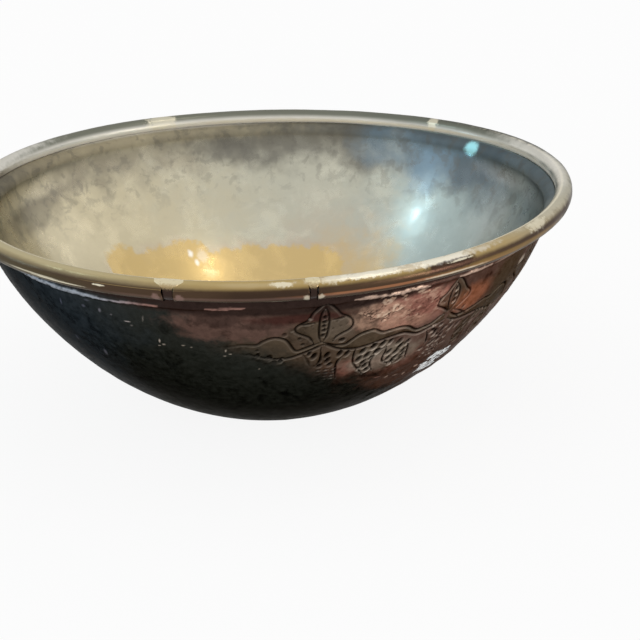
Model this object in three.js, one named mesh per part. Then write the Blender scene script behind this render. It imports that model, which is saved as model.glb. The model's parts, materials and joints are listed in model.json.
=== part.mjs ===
// A raised copper bowl, plated with silver inside, whose lip is held in a brass edging over a wire.
// Each separate piece is one mesh. Millimetres, +Z up, with the origin at the middle of the underside.

import * as THREE from "three";

// Overall sizes
const RIM_DIAMETER = 230; // over the edging
const HEIGHT = 81; // from the underside to the top of the edging
const BASE_DIAMETER = 75; // the flat that the bowl stands on

// Copper shell
const SHEET = 1.2;
const WALL_RISE = 19; // degrees, where the wall leaves the base
const WALL_STEEPEST = 80; // degrees, at the neck under the edging
const LOWER_FULLNESS = 39; // how far the wall keeps its first direction
const UPPER_FULLNESS = 17.5; // how far it keeps its last one
const NECK_BEND = 3.2; // radius outside, where the wall turns out into the lip
const LIP_RISE = 23; // degrees
const LIP_LENGTH = 2.3;

// Silver skin inside
const PLATING = 0.3;
const PLATING_LIP = 0.3; // how far it reaches onto the lip, past the bend

// Wire in the edging
const WIRE_DIAMETER = 3.8;

// Brass edging, a strip rolled into an oval over the wire
const STRIP = 0.8;
const SPARE_WIDTH = 1; // how much wider the oval's hollow is than the wire
const SPARE_HEIGHT = 1.7; // and how much higher
const INNER_EDGE = 202.5; // degrees round the oval from its outermost point, by way of the top
const OUTER_EDGE = -90; // degrees the other way, at the bottom of the oval
const LIP_SEAT = 0.4; // from the strip's inner edge down to the lip

// Soldered joints of the edging
const JOINT_PLACES = [-107, -83.3]; // degrees, counted from +X towards +Y
const JOINT_TOP = 4.4; // length along the rim at the top
const JOINT_BOTTOM = 1.8; // and at the bottom

const CLEARANCE = 0.3; // between pieces that touch

// Fineness
const ROUND_STEPS = 64;
const WALL_STEPS = 9;
const BEND_STEPS = 3;
const STRIP_STEPS = 13;
const WIRE_SIDES = 8;

const rad = THREE.MathUtils.degToRad;

const copper = new THREE.MeshStandardMaterial({ color: 0x6b4434, roughness: 0.5, metalness: 0.9 });
const silver = new THREE.MeshStandardMaterial({ color: 0xb4ae97, roughness: 0.4, metalness: 0.9 });
const brass = new THREE.MeshStandardMaterial({ color: 0xb59a5c, roughness: 0.35, metalness: 1 });
const iron = new THREE.MeshStandardMaterial({ color: 0x4c4a47, roughness: 0.7, metalness: 1 });
const solder = new THREE.MeshStandardMaterial({ color: 0xd8cfbd, roughness: 0.3, metalness: 1 });

// All outlines lie in the half plane of x, the distance from the axis, and y, the height.

function heading(degrees, length = 1) {
  return new THREE.Vector2(Math.cos(rad(degrees)), Math.sin(rad(degrees))).multiplyScalar(length);
}

const EDGING_WIDTH = WIRE_DIAMETER + SPARE_WIDTH + 2 * STRIP;
const EDGING_HEIGHT = WIRE_DIAMETER + SPARE_HEIGHT + 2 * STRIP;

// The middle of the edging's oval, and a point on an oval inside it.
const oval = new THREE.Vector2((RIM_DIAMETER - EDGING_WIDTH) / 2, HEIGHT - EDGING_HEIGHT / 2);

function ovalPoint(degrees, depth) {
  const round = heading(degrees);
  round.x *= EDGING_WIDTH / 2 - depth;
  round.y *= EDGING_HEIGHT / 2 - depth;
  return round.add(oval);
}

// The lip's upper face passes under the strip's inner edge, which sets where the neck is.
const lipUnder = ovalPoint(INNER_EDGE, 0).add(heading(LIP_RISE - 90, LIP_SEAT + SHEET));
const lipStart = lipUnder.clone().sub(heading(LIP_RISE, LIP_LENGTH / 2));
const lipEnd = lipUnder.clone().add(heading(LIP_RISE, LIP_LENGTH / 2));
const neckMiddle = lipStart.clone().add(heading(LIP_RISE - 90, NECK_BEND));
const neck = neckMiddle.clone().add(heading(WALL_STEEPEST + 90, NECK_BEND));

// The outer face of the shell from the base's edge to the end of the lip, as {point, normal},
// where the normal points into the bowl.
function outerFace(lipPart) {
  const foot = new THREE.Vector2(BASE_DIAMETER / 2, 0);
  const wall = new THREE.CubicBezierCurve(
    foot,
    foot.clone().add(heading(WALL_RISE, LOWER_FULLNESS)),
    neck.clone().sub(heading(WALL_STEEPEST, UPPER_FULLNESS)),
    neck,
  );
  const face = [];
  for (let i = 0; i <= WALL_STEPS; i++) {
    const tangent = wall.getTangent(i / WALL_STEPS);
    face.push({ point: wall.getPoint(i / WALL_STEPS), normal: new THREE.Vector2(-tangent.y, tangent.x) });
  }
  for (let i = 1; i <= BEND_STEPS; i++) {
    const turned = THREE.MathUtils.lerp(WALL_STEEPEST, LIP_RISE, i / BEND_STEPS) + 90;
    face.push({ point: neckMiddle.clone().add(heading(turned, NECK_BEND)), normal: heading(turned) });
  }
  const end = lipStart.clone().lerp(lipEnd, lipPart);
  face.push({ point: end, normal: heading(LIP_RISE + 90) });
  return face;
}

// That face moved into the bowl by a depth, with its flat floor at the same depth.
function faceAt(depth, lipPart) {
  const moved = outerFace(lipPart).map(({ point, normal }) => point.clone().addScaledVector(normal, depth));
  // The floor meets the wall where the moved wall comes down to it.
  const [low, next] = moved;
  const run = (next.x - low.x) / (next.y - low.y);
  moved[0] = new THREE.Vector2(low.x + (depth - low.y) * run, depth);
  return [new THREE.Vector2(0, depth), ...moved];
}

// A closed outline turned round the axis. Outlines run so that the metal lies to their left.
function turned(outline) {
  const geometry = new THREE.LatheGeometry(outline, ROUND_STEPS);
  geometry.rotateX(Math.PI / 2);
  return geometry;
}

function sheetOutline(outerDepth, innerDepth, lipPart) {
  const outer = faceAt(outerDepth, lipPart);
  const inner = faceAt(innerDepth, lipPart);
  return [...outer, ...inner.reverse()];
}

function circleOutline(middle, radius, sides) {
  const outline = [];
  for (let i = 0; i <= sides; i++) {
    outline.push(middle.clone().add(heading((360 * i) / sides, radius)));
  }
  return outline;
}

// The strip's section: its outer face from the outer edge over the top to the inner one, then back.
function stripSection() {
  const outer = [];
  const inner = [];
  for (let i = 0; i <= STRIP_STEPS; i++) {
    const degrees = THREE.MathUtils.lerp(OUTER_EDGE, INNER_EDGE, i / STRIP_STEPS);
    outer.push({ degrees, point: ovalPoint(degrees, 0) });
    inner.push({ degrees, point: ovalPoint(degrees, STRIP) });
  }
  return [...outer, ...inner.reverse()];
}

// Half of a joint's length at a place round the oval: widest at the top, narrow at the bottom.
function jointHalf(degrees) {
  const height = (1 + Math.sin(rad(degrees))) / 2;
  return THREE.MathUtils.lerp(JOINT_BOTTOM, JOINT_TOP, height) / 2;
}

// Sweeps the strip's section round the axis. from and to give the angle, in degrees, at which
// each corner of the section starts and ends, so that an end can be cut on the slant.
function sweptStrip(from, to, steps) {
  const section = stripSection();
  const count = section.length;
  const places = [];
  for (let step = 0; step <= steps; step++) {
    for (const { degrees, point } of section) {
      const angle = rad(THREE.MathUtils.lerp(from(degrees), to(degrees), step / steps));
      places.push(point.x * Math.cos(angle), point.x * Math.sin(angle), point.y);
    }
  }
  const faces = [];
  for (let step = 0; step < steps; step++) {
    for (let i = 0; i < count; i++) {
      const near = step * count + i;
      const nearNext = step * count + ((i + 1) % count);
      faces.push(near, near + count, nearNext, nearNext, near + count, nearNext + count);
    }
  }
  const cap = THREE.ShapeUtils.triangulateShape(
    section.map(({ point }) => point),
    [],
  );
  const last = steps * count;
  for (const [a, b, c] of cap) {
    faces.push(a, b, c);
    faces.push(last + a, last + c, last + b);
  }
  const geometry = new THREE.BufferGeometry();
  geometry.setAttribute("position", new THREE.Float32BufferAttribute(places, 3));
  geometry.setIndex(faces);
  return geometry;
}

// Degrees round the rim that a length along it takes.
function degreesOf(length) {
  return THREE.MathUtils.radToDeg(length / (RIM_DIAMETER / 2));
}

function piece(name, geometry, material) {
  const mesh = new THREE.Mesh(geometry, material);
  mesh.name = name;
  return mesh;
}

const group = new THREE.Group();

group.add(piece("bowl_body", turned(sheetOutline(0, SHEET, 1)), copper));

const platingDepth = SHEET + CLEARANCE;
const platingPart = PLATING_LIP / LIP_LENGTH;
const skin = sheetOutline(platingDepth, platingDepth + PLATING, platingPart);
group.add(piece("silver_lining", turned(skin), silver));

// The wire lies against the outer side of the oval's hollow.
const wireRoom = SPARE_WIDTH / 2 - CLEARANCE;
const wireMiddle = oval.clone().add(new THREE.Vector2(wireRoom, 0));
group.add(piece("rim_wire", turned(circleOutline(wireMiddle, WIRE_DIAMETER / 2, WIRE_SIDES)), iron));

// The edging runs from one joint round to the next, and a short length is let in between them.
const [leftJoint, rightJoint] = JOINT_PLACES;

function edging(name, start, end) {
  const steps = Math.max(2, Math.round(((end - start) / 360) * ROUND_STEPS));
  const from = (degrees) => start + degreesOf(jointHalf(degrees));
  const to = (degrees) => end - degreesOf(jointHalf(degrees));
  return piece(name, sweptStrip(from, to, steps), brass);
}

group.add(edging("rim_edging_short", leftJoint, rightJoint));
group.add(edging("rim_edging_long", rightJoint, leftJoint + 360));

function jointSolder(name, place) {
  const half = (degrees) => degreesOf(jointHalf(degrees) - CLEARANCE);
  const from = (degrees) => place - half(degrees);
  const to = (degrees) => place + half(degrees);
  return piece(name, sweptStrip(from, to, 1), solder);
}

group.add(jointSolder("rim_solder_left", leftJoint));
group.add(jointSolder("rim_solder_right", rightJoint));

export default group;
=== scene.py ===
"""A hand-raised copper bowl, silver plated inside, with an engraved vine frieze and a brass-edged rim.

Lengths are in metres. Angles round the bowl are counted from +X towards +Y, and -90 degrees is the
near side. A distance down the wall is measured along its outer face from the neck under the rim.
"""

import json
import math
from typing import NamedTuple

import bpy
import numpy as np
from mathutils import Matrix, Vector

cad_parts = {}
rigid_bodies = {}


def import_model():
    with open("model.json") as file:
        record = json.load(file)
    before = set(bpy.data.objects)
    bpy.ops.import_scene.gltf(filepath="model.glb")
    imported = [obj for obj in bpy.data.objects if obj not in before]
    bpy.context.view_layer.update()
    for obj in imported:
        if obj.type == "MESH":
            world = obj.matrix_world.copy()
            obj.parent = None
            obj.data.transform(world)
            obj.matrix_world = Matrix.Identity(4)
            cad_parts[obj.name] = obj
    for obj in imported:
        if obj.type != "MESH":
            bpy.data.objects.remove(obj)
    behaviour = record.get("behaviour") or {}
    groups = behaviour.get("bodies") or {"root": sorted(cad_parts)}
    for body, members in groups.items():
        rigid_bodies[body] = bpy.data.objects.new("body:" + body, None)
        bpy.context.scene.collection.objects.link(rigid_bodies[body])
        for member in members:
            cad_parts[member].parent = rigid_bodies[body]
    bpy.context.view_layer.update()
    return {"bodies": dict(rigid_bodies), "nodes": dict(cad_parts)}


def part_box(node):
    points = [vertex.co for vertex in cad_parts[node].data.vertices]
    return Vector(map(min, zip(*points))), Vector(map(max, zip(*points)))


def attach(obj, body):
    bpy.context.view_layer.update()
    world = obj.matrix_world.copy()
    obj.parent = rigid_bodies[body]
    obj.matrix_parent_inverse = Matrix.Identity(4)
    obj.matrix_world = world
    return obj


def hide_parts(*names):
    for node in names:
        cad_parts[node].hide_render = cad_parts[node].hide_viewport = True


bl_info = {
    "name": "Silver Plated Bowl",
    "version": (1, 0, 0),
    "blender": (4, 5, 0),
    "location": "3D View > Sidebar > Bowl",
    "description": "Builds an engraved copper bowl with a silver skin inside and a brass edging",
    "category": "Mesh",
}

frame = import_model()
BODY = next(iter(frame["bodies"]))

MM = 0.001
TURN = 2 * math.pi


def node_reach(node, below=math.inf):
    """How far a CAD node reaches from the axis, among its corners lower than a height."""
    places = np.array([corner.co for corner in frame["nodes"][node].data.vertices])
    low = places[places[:, 2] < below]
    return float(np.hypot(low[:, 0], low[:, 1]).max())


RIM_REACH = node_reach("rim_edging_long")
RIM_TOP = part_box("rim_edging_long")[1].z
RIM_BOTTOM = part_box("rim_edging_long")[0].z
BASE_REACH = node_reach("bowl_body", below=0.01 * MM)
WIRE_LOW, WIRE_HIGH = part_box("rim_wire")


# Sizes and colours that can be changed


def length(name, description, default):
    return bpy.props.FloatProperty(
        name=name, description=description, default=default, precision=5, unit="LENGTH"
    )


def angle(name, description, degrees):
    return bpy.props.FloatProperty(
        name=name, description=description, default=math.radians(degrees), unit="ROTATION"
    )


def share(name, description, default):
    return bpy.props.FloatProperty(
        name=name, description=description, default=default, min=0, max=1, subtype="FACTOR"
    )


def colour(name, description, default):
    return bpy.props.FloatVectorProperty(
        name=name, description=description, default=default, size=3, min=0, max=1, subtype="COLOR"
    )


class BowlSizes(bpy.types.PropertyGroup):
    """The sheet metal: the section of the shell, its silver skin and the edging."""

    rim_reach: length("Rim", "Radius over the edging", RIM_REACH)
    rim_top: length("Height", "From the underside to the top of the edging", RIM_TOP)
    base_reach: length("Base", "Radius of the flat that the bowl stands on", BASE_REACH)
    sheet: length("Sheet", "Thickness of the copper", 1.2 * MM)
    wall_rise: angle("Wall rise", "Slope where the wall leaves the base", 19)
    wall_steepest: angle("Wall steepest", "Slope at the neck", 80)
    lower_fullness: length("Lower fullness", "How far the wall keeps its first slope", 39 * MM)
    upper_fullness: length("Upper fullness", "How far it keeps its last one", 17.5 * MM)
    neck_bend: length("Neck bend", "Radius where the wall turns out into the lip", 3.2 * MM)
    lip_rise: angle("Lip rise", "Slope of the lip", 23)
    lip_length: length("Lip length", "Length of the lip past the bend", 2.3 * MM)
    plating_gap: length("Plating gap", "Between the copper and its silver skin", 0.3 * MM)
    plating: length("Plating", "Thickness of the silver skin", 0.3 * MM)
    edging_width: length("Edging width", "Width of the rolled edging", 6.4 * MM)
    edging_height: length("Edging height", "Height of the rolled edging", RIM_TOP - RIM_BOTTOM)
    strip: length("Strip", "Thickness of the brass strip", 0.8 * MM)
    lip_seat: length("Lip seat", "From the strip's inner edge down to the lip", 0.4 * MM)


class BowlRelief(bpy.types.PropertyGroup):
    """The engraving, the punching and the marks of the hand."""

    groove_width: length("Groove width", "Width of an engraved line", 0.95 * MM)
    groove_depth: length("Groove depth", "Depth of an engraved line", 0.40 * MM)
    punch_depth: length("Punch depth", "Depth of a punch mark", 0.50 * MM)
    burr: length("Burr", "Metal thrown up beside a groove or a punch mark", 0.14 * MM)
    wobble: length("Wobble", "How far the hand strays from the drawing", 0.22 * MM)
    dents: length("Dents", "Depth of the broad dents in the wall", 0.28 * MM)
    facets: length("Facets", "Depth of the hammer marks", 0.07 * MM)
    border: length("Border", "Height of the ridge above the frieze", 0.42 * MM)
    flakes: length("Flakes", "Thickness of the flaked crust", 0.30 * MM)
    bumps: length("Bumps", "Height of the bumps low on the near right", 0.40 * MM)


class BowlFinish(bpy.types.PropertyGroup):
    """Colours of the metals and of what has grown on them, and of painted light and shade."""

    # The crusts are also painted shade: nearly black on the near left and the bottom, and dark under the
    # edging.
    crust_black: colour("Black crust", "Oldest crust of the copper", (0.027, 0.029, 0.025))
    crust_umber: colour("Umber crust", "Crust just under the edging", (0.030, 0.018, 0.015))
    crust_blue: colour("Blue crust", "Crust of the near left", (0.039, 0.048, 0.056))
    crust_brown: colour("Brown crust", "Thin brown crust", (0.040, 0.023, 0.017))
    olive: colour("Olive", "Thin crust on the leaves", (0.090, 0.066, 0.044))
    olive_pale: colour("Pale olive", "The same, rubbed thin", (0.29, 0.24, 0.19))
    dark_red: colour("Dark red", "Red oxide under the border", (0.055, 0.021, 0.017))
    copper_brown: colour("Brown copper", "Copper under a thin crust", (0.125, 0.072, 0.057))
    copper_pink: colour("Pink copper", "Copper with its red oxide", (0.35, 0.155, 0.118))
    copper_pale: colour("Pale copper", "Copper rubbed bare", (0.50, 0.31, 0.22))
    crust_pale: colour("Pale crust", "Plates of flaked crust", (0.78, 0.59, 0.44))
    copper_orange: colour("Orange copper", "Copper wiped clean", (0.47, 0.18, 0.10))
    copper_grey: colour("Grey copper", "Copper with a grey bloom", (0.20, 0.135, 0.112))
    # Rubbed metal is partly wear and partly painted glints; the bright one is a painted sparkle and the
    # streaks are painted highlights on the border.
    rubbed: colour("Rubbed metal", "Raised edges that shine", (0.78, 0.66, 0.54))
    rubbed_bright: colour("Bright rubbed metal", "Bare crest that catches the light", (0.93, 0.98, 1.0))
    cold_wear_and_glint: colour("Cold rubbed metal", "The same in the blue crust", (0.26, 0.27, 0.38))
    highlight_cold: colour("Cold streak", "Border to the left, rubbed bare", (0.46, 0.50, 0.56))
    streak_pink: colour("Pink streak", "Border in the middle, rubbed bare", (0.40, 0.22, 0.18))
    streak_pale: colour("Pale streak", "Border to the right, rubbed bare", (0.72, 0.52, 0.41))
    groove: colour("Groove", "Dirt in the engraved lines", (0.004, 0.003, 0.0026))
    # The plating's warm tones to the left and cool ones to the right, its brown and blue tarnish and the
    # golden tone are partly painted reflections; bright silver and the blue film are painted highlight and
    # painted reflection.
    silver: colour("Silver", "Plating in its clean state", (0.60, 0.585, 0.47))
    silver_warm: colour("Warm silver", "Plating to the left", (0.72, 0.62, 0.40))
    silver_straw: colour("Straw silver", "Plating at the left end", (0.97, 0.86, 0.60))
    silver_cold: colour("Cold silver", "Plating to the right", (0.42, 0.52, 0.51))
    tarnish: colour("Tarnish", "Dark tarnish under the rim", (0.165, 0.155, 0.128))
    tarnish_brown: colour("Brown tarnish", "Tarnish under the rim to the left", (0.31, 0.27, 0.195))
    tarnish_blue: colour("Blue tarnish", "Tarnish under the rim to the right", (0.125, 0.165, 0.190))
    silver_blue: colour("Blue silver", "Brighter film in the blue tarnish", (0.25, 0.37, 0.46))
    silver_bright: colour("Bright silver", "Silver rubbed by use", (0.97, 0.96, 0.92))
    film: colour("Blue film", "Small bright film under the rim to the right", (0.48, 0.93, 1.0))
    gilt: colour("Golden tone", "Yellow film in the bottom", (0.72, 0.52, 0.215))
    gilt_edge: colour("Golden edge", "Pinkish fringe of the yellow film", (0.62, 0.49, 0.36))
    # Light brass is painted light and dark brass painted shade; pale brass is partly wear and partly
    # painted highlight.
    brass: colour("Brass", "Edging of the near side", (0.50, 0.365, 0.150))
    brass_grey: colour("Grey brass", "Edging to the left", (0.54, 0.48, 0.30))
    brass_beige: colour("Beige brass", "Edging of the far side", (0.72, 0.68, 0.56))
    brass_cool: colour("Cool brass", "The same, to the right", (0.66, 0.71, 0.67))
    brass_light: colour("Light brass", "Inner side of the far edging", (0.95, 0.92, 0.84))
    brass_dull: colour("Dull brass", "Soiled edging", (0.22, 0.175, 0.105))
    brass_rose: colour("Rose brass", "Reddish sheen of the lower half", (0.24, 0.15, 0.125))
    brass_deep: colour("Deep brass", "Where the gold ends", (0.36, 0.225, 0.075))
    brass_pale: colour("Pale brass", "Edging rubbed bare", (0.95, 0.88, 0.68))
    brass_olive: colour("Olive brass", "Lower half of the edging to the left", (0.085, 0.066, 0.035))
    brass_brown: colour("Brown brass", "Lower half of the edging", (0.058, 0.032, 0.023))
    brass_copper: colour("Coppery brass", "Streaks of the lower half", (0.40, 0.175, 0.085))
    brass_shade: colour("Dark brass", "Outer side of the far edging", (0.15, 0.158, 0.125))
    solder: colour("Solder", "Soft solder of the joints", (0.76, 0.67, 0.45))
    solder_dark: colour("Dark solder", "Joint below the solder", (0.042, 0.026, 0.021))
    iron: colour("Iron", "Wire inside the edging", (0.12, 0.11, 0.10))
    rust: colour("Rust", "Rust on the wire", (0.10, 0.045, 0.02))


class BowlStage(bpy.types.PropertyGroup):
    """The floor and the lamps."""

    floor_reach: length("Floor", "Half the side of the floor", 6.0)
    floor_colour: colour("Floor colour", "Pale floor", (0.86, 0.86, 0.86))
    floor_white: share("White floor", "How far the camera sees the floor as plain white", 0.9)
    floor_glow: share("Floor in the metal", "How far reflections see the floor as plain white", 0.6)
    sky: bpy.props.FloatProperty(name="Sky", description="Strength of the plain sky", default=0.85)
    lamps: bpy.props.FloatProperty(name="Lamps", description="Strength of all lamps", default=1.0)


GROUPS = {
    "bowl_sizes": BowlSizes,
    "bowl_relief": BowlRelief,
    "bowl_finish": BowlFinish,
    "bowl_stage": BowlStage,
}


# Section of the bowl. Points are (distance from the axis, height).


def heading(radians, reach=1.0):
    return reach * np.array((math.cos(radians), math.sin(radians)))


def oval_middle(sizes):
    return np.array(
        (sizes.rim_reach - sizes.edging_width / 2, sizes.rim_top - sizes.edging_height / 2)
    )


def oval_point(sizes, radians, depth):
    """A point of the edging's oval, or of one inside it. radians and depth may be arrays."""
    out = np.cos(radians) * (sizes.edging_width / 2 - depth)
    up = np.sin(radians) * (sizes.edging_height / 2 - depth)
    return oval_middle(sizes) + np.stack((out, up), axis=-1)


LIP_ANGLE = math.radians(202.5)  # the place on the oval that the lip passes under
INNER_EDGE = math.radians(208.5)  # the strip's inner edge, pressed down onto the lip
OUTER_EDGE = math.radians(-106)  # and its outer edge, tucked under
WALL_STEPS = 400
BEND_STEPS = 24


def outer_line(sizes):
    """The shell's outer face from the base's edge up to the end of the lip."""
    seat = sizes.lip_seat + sizes.sheet
    lip_under = oval_point(sizes, LIP_ANGLE, 0) + heading(sizes.lip_rise - math.pi / 2, seat)
    lip_start = lip_under - heading(sizes.lip_rise, sizes.lip_length / 2)
    lip_end = lip_under + heading(sizes.lip_rise, sizes.lip_length / 2)
    bend_middle = lip_start + heading(sizes.lip_rise - math.pi / 2, sizes.neck_bend)
    foot = np.array((sizes.base_reach, 0.0))
    neck = bend_middle + heading(sizes.wall_steepest + math.pi / 2, sizes.neck_bend)
    pull_low = foot + heading(sizes.wall_rise, sizes.lower_fullness)
    pull_high = neck - heading(sizes.wall_steepest, sizes.upper_fullness)
    t = np.linspace(0, 1, WALL_STEPS)[:, None]
    wall = (
        foot * (1 - t) ** 3
        + 3 * pull_low * t * (1 - t) ** 2
        + 3 * pull_high * t**2 * (1 - t)
        + neck * t**3
    )
    turns = np.linspace(sizes.wall_steepest, sizes.lip_rise, BEND_STEPS)[1:] + math.pi / 2
    bend = [bend_middle + heading(turn, sizes.neck_bend) for turn in turns]
    return np.vstack((wall, bend, [lip_end])), len(wall) - 1


class Section:
    """The shell's outer face, addressed by the distance down from the neck, negative above it."""

    def __init__(self, sizes, depth=0.0):
        line, neck_index = outer_line(sizes)
        step = np.gradient(line, axis=0)
        step /= np.linalg.norm(step, axis=1)[:, None]
        self.inward = np.stack((-step[:, 1], step[:, 0]), axis=-1)
        self.line = line + self.inward * depth
        run = np.concatenate(([0], np.cumsum(np.linalg.norm(np.diff(line, axis=0), axis=1))))
        self.down = run[neck_index] - run
        self.bottom = self.down[0]
        self.top = self.down[-1]

    def at(self, down):
        """(point, direction into the bowl) at distances down from the neck."""
        down = np.asarray(down, float)
        known = self.down[::-1]
        point = np.stack([np.interp(down, known, self.line[::-1, i]) for i in (0, 1)], axis=-1)
        inward = np.stack([np.interp(down, known, self.inward[::-1, i]) for i in (0, 1)], axis=-1)
        return point, inward


# Out of round, as raised and bent by hand: shares of the radius, for two and three waves round the rim

ROUND_SHARE = {2: (-0.0031, 0.0050), 3: (-0.0053, 0.0083)}
HEIGHT_SHARE = {2: (0.0028, -0.0064), 3: (0.0011, 0.0009)}


def waves(angles, shares):
    return sum(c * np.cos(n * angles) + s * np.sin(n * angles) for n, (c, s) in shares.items())


def out_of_round(places):
    """Moves points of a true bowl to where they lie on the real one."""
    angles = np.arctan2(places[:, 1], places[:, 0])
    stretch = 1 + waves(angles, ROUND_SHARE)
    lift = RIM_REACH * waves(angles, HEIGHT_SHARE) * np.clip(places[:, 2] / RIM_TOP, 0, 1)
    moved = places.copy()
    moved[:, 0] *= stretch
    moved[:, 1] *= stretch
    moved[:, 2] += lift
    return moved


# Soft steps and noise

CLOUD_SIDE = 32  # values along each side of the noise's table


def soft_step(value, low, high):
    """From 0 to 1 between two limits, with soft ends."""
    part = np.clip((value - low) / (high - low), 0, 1)
    return part * part * (3 - 2 * part)


def cloud(places, lump, seed):
    """Smooth noise from -1 to 1 whose lumps have about one size, at points (n, 3)."""
    table = np.random.default_rng(seed).uniform(-1, 1, (CLOUD_SIDE, CLOUD_SIDE, CLOUD_SIDE))
    place = places / lump
    corner = np.floor(place).astype(int)
    part = soft_step(place - corner, 0, 1)
    total = np.zeros(len(places))
    for offset in np.ndindex(2, 2, 2):
        weight = np.abs(1 - np.array(offset) - part).prod(axis=1)
        index = (corner + offset) % CLOUD_SIDE
        total += weight * table[index[:, 0], index[:, 1], index[:, 2]]
    return total


def layers(places, *parts):
    """Noise in layers. Each is (strength, size of its lumps, seed)."""
    return sum(strength * cloud(places, lump, seed) for strength, lump, seed in parts)


def bell(value, middle, width):
    """1 at a middle value, falling off softly on both sides."""
    return np.exp(-(((value - middle) / width) ** 2))


def from_spot(degrees, level, spot):
    """Squared distance from a spot given by its degrees, its level and half its size in both. Its edge
    is at 1."""
    middle, middle_level, half, half_level = spot
    across = (degrees - middle + 180) % 360 - 180
    return (across / half) ** 2 + ((level - middle_level) / half_level) ** 2


# Meshes


def turns_round(columns):
    """Angles of evenly spaced columns round the bowl."""
    return -math.pi + TURN * np.arange(columns) / columns


def around_axis(reach, height, turn):
    """Points at distances from the axis, heights and angles, each of them one value or many."""
    place = np.broadcast_arrays(reach * np.cos(turn), reach * np.sin(turn), height)
    return np.stack(place, axis=-1)


def ring(reach, height, columns):
    """Points round the axis. reach and height may differ from column to column."""
    return around_axis(reach, height, turns_round(columns))


def ring_faces(rings):
    """Faces that join each ring of points to the next. A ring has as many points as the last one,
    twice or half as many, or one."""
    faces = []
    start = 0
    for low, high in zip(rings, rings[1:]):
        first, second = len(low), len(high)
        after = start + first
        k = np.arange(min(first, second) if 1 not in (first, second) else max(first, second))
        following = (k + 1) % len(k)
        if first == second:
            block = (start + k, start + following, after + following, after + k)
        elif first == 1:
            block = (start + 0 * k, after + following, after + k)
        elif second == 1:
            block = (start + k, start + following, after + 0 * k)
        elif first == 2 * second:
            wide = (2 * k + 2) % first
            block = (start + 2 * k, start + 2 * k + 1, start + wide, after + following, after + k)
        elif second == 2 * first:
            wide = (2 * k + 2) % second
            block = (start + k, start + following, after + wide, after + 2 * k + 1, after + 2 * k)
        else:
            raise ValueError(f"rings of {first} and {second} points don't join")
        faces.extend(np.stack(block, axis=-1).tolist())
        start = after
    return faces


def band_faces(starts, count):
    """Faces between one loop of points and the next. A loop is given by the number of its first point."""
    k = np.arange(count)
    following = (k + 1) % count
    faces = []
    for a, b in zip(starts, starts[1:]):
        faces.extend(np.stack((a + k, b + k, b + following, a + following), axis=-1).tolist())
    return faces


def make_piece(name, places, faces, material, nodes, marks=None):
    """A smooth mesh object that rides on the bowl and stands for CAD nodes. marks are values per point."""
    mesh = bpy.data.meshes.new(name)
    mesh.from_pydata(out_of_round(places), [], faces)
    mesh.shade_smooth()
    for mark, values in (marks or {}).items():
        layer = mesh.attributes.new(mark, "FLOAT", "POINT")
        layer.data.foreach_set("value", np.asarray(values, np.float32))
    mesh.materials.append(material)
    mesh.validate()
    piece = bpy.data.objects.new(name, mesh)
    bpy.context.scene.collection.objects.link(piece)
    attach(piece, BODY)
    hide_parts(*nodes)
    return piece


# Frieze. A drawing's points are (degrees round from a palmette's axis, mm down from the neck). Tall
# and broad palmettes take turns, one pitch apart, and the drawing covers the pitch on either side of
# a tall one.

PITCH = 27.7
PAIRS = 7
NEAR_TALL = -80.4  # where the near side's tall palmette is
SQUEEZE = 0.077  # how much wider the pitch is there than the mean one

TALL_PALMETTE = {
    "left": [
        (0, 5.2), (-1.4, 6.8), (-2.4, 8.6), (-2.9, 10.6), (-3.4, 11.9), (-4.4, 12.9), (-5.2, 13.8),
        (-5.6, 15), (-5.4, 16.4), (-4.6, 17.6), (-3.6, 18.6), (-2.8, 19.6), (-2.4, 20.8), (-1.9, 22.6),
    ],
    "right": [
        (0, 5.2), (1.2, 6.6), (2.2, 8.6), (3, 10.4), (4, 11.4), (4.9, 12.8), (5.3, 14.4),
        (5.3, 16.2), (4.6, 17.8), (3.4, 19), (2.4, 20.3), (1.8, 22.3),
    ],
    "left_shoulder": [(-5, 13.6), (-3.1, 13.2), (-1.4, 12.8)],
    "right_shoulder": [(0.8, 12.6), (2.9, 11.9), (3.9, 11.6)],
    "left_vein": [(-0.1, 7), (-0.7, 8.8), (-1, 11), (-1.1, 14), (-1.1, 17), (-0.9, 20), (-0.5, 22.4)],
    "right_vein": [(-0.1, 7), (0.4, 9), (0.6, 11), (0.7, 14), (0.6, 17), (0.4, 19.6), (-0.2, 22.3)],
}
BROAD_PALMETTE = {
    "left": [
        (-0.4, 5.5), (-1.2, 7.5), (-2.5, 10.5), (-3.8, 12.7), (-3.9, 15.5), (-2.6, 16.9),
        (-1, 18.7), (-0.3, 20),
    ],
    "right": [(-0.4, 5.5), (1.2, 7), (3, 11), (4.4, 13), (4.4, 15.4), (2.6, 18.3), (1.2, 20.2)],
    "left_vein": [(-0.4, 7.4), (-1.1, 10), (-1.2, 13.5), (-0.8, 17), (-0.2, 19.6)],
    "right_vein": [(-0.4, 7.4), (0.7, 9.8), (1.2, 13.5), (0.9, 17), (0.2, 19.6)],
    "upper_tendril": [(1.5, 20), (4, 22), (6.4, 24.5)],
    "lower_tendril": [(1, 21.3), (2.8, 23.2), (4.5, 25.5)],
}
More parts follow.
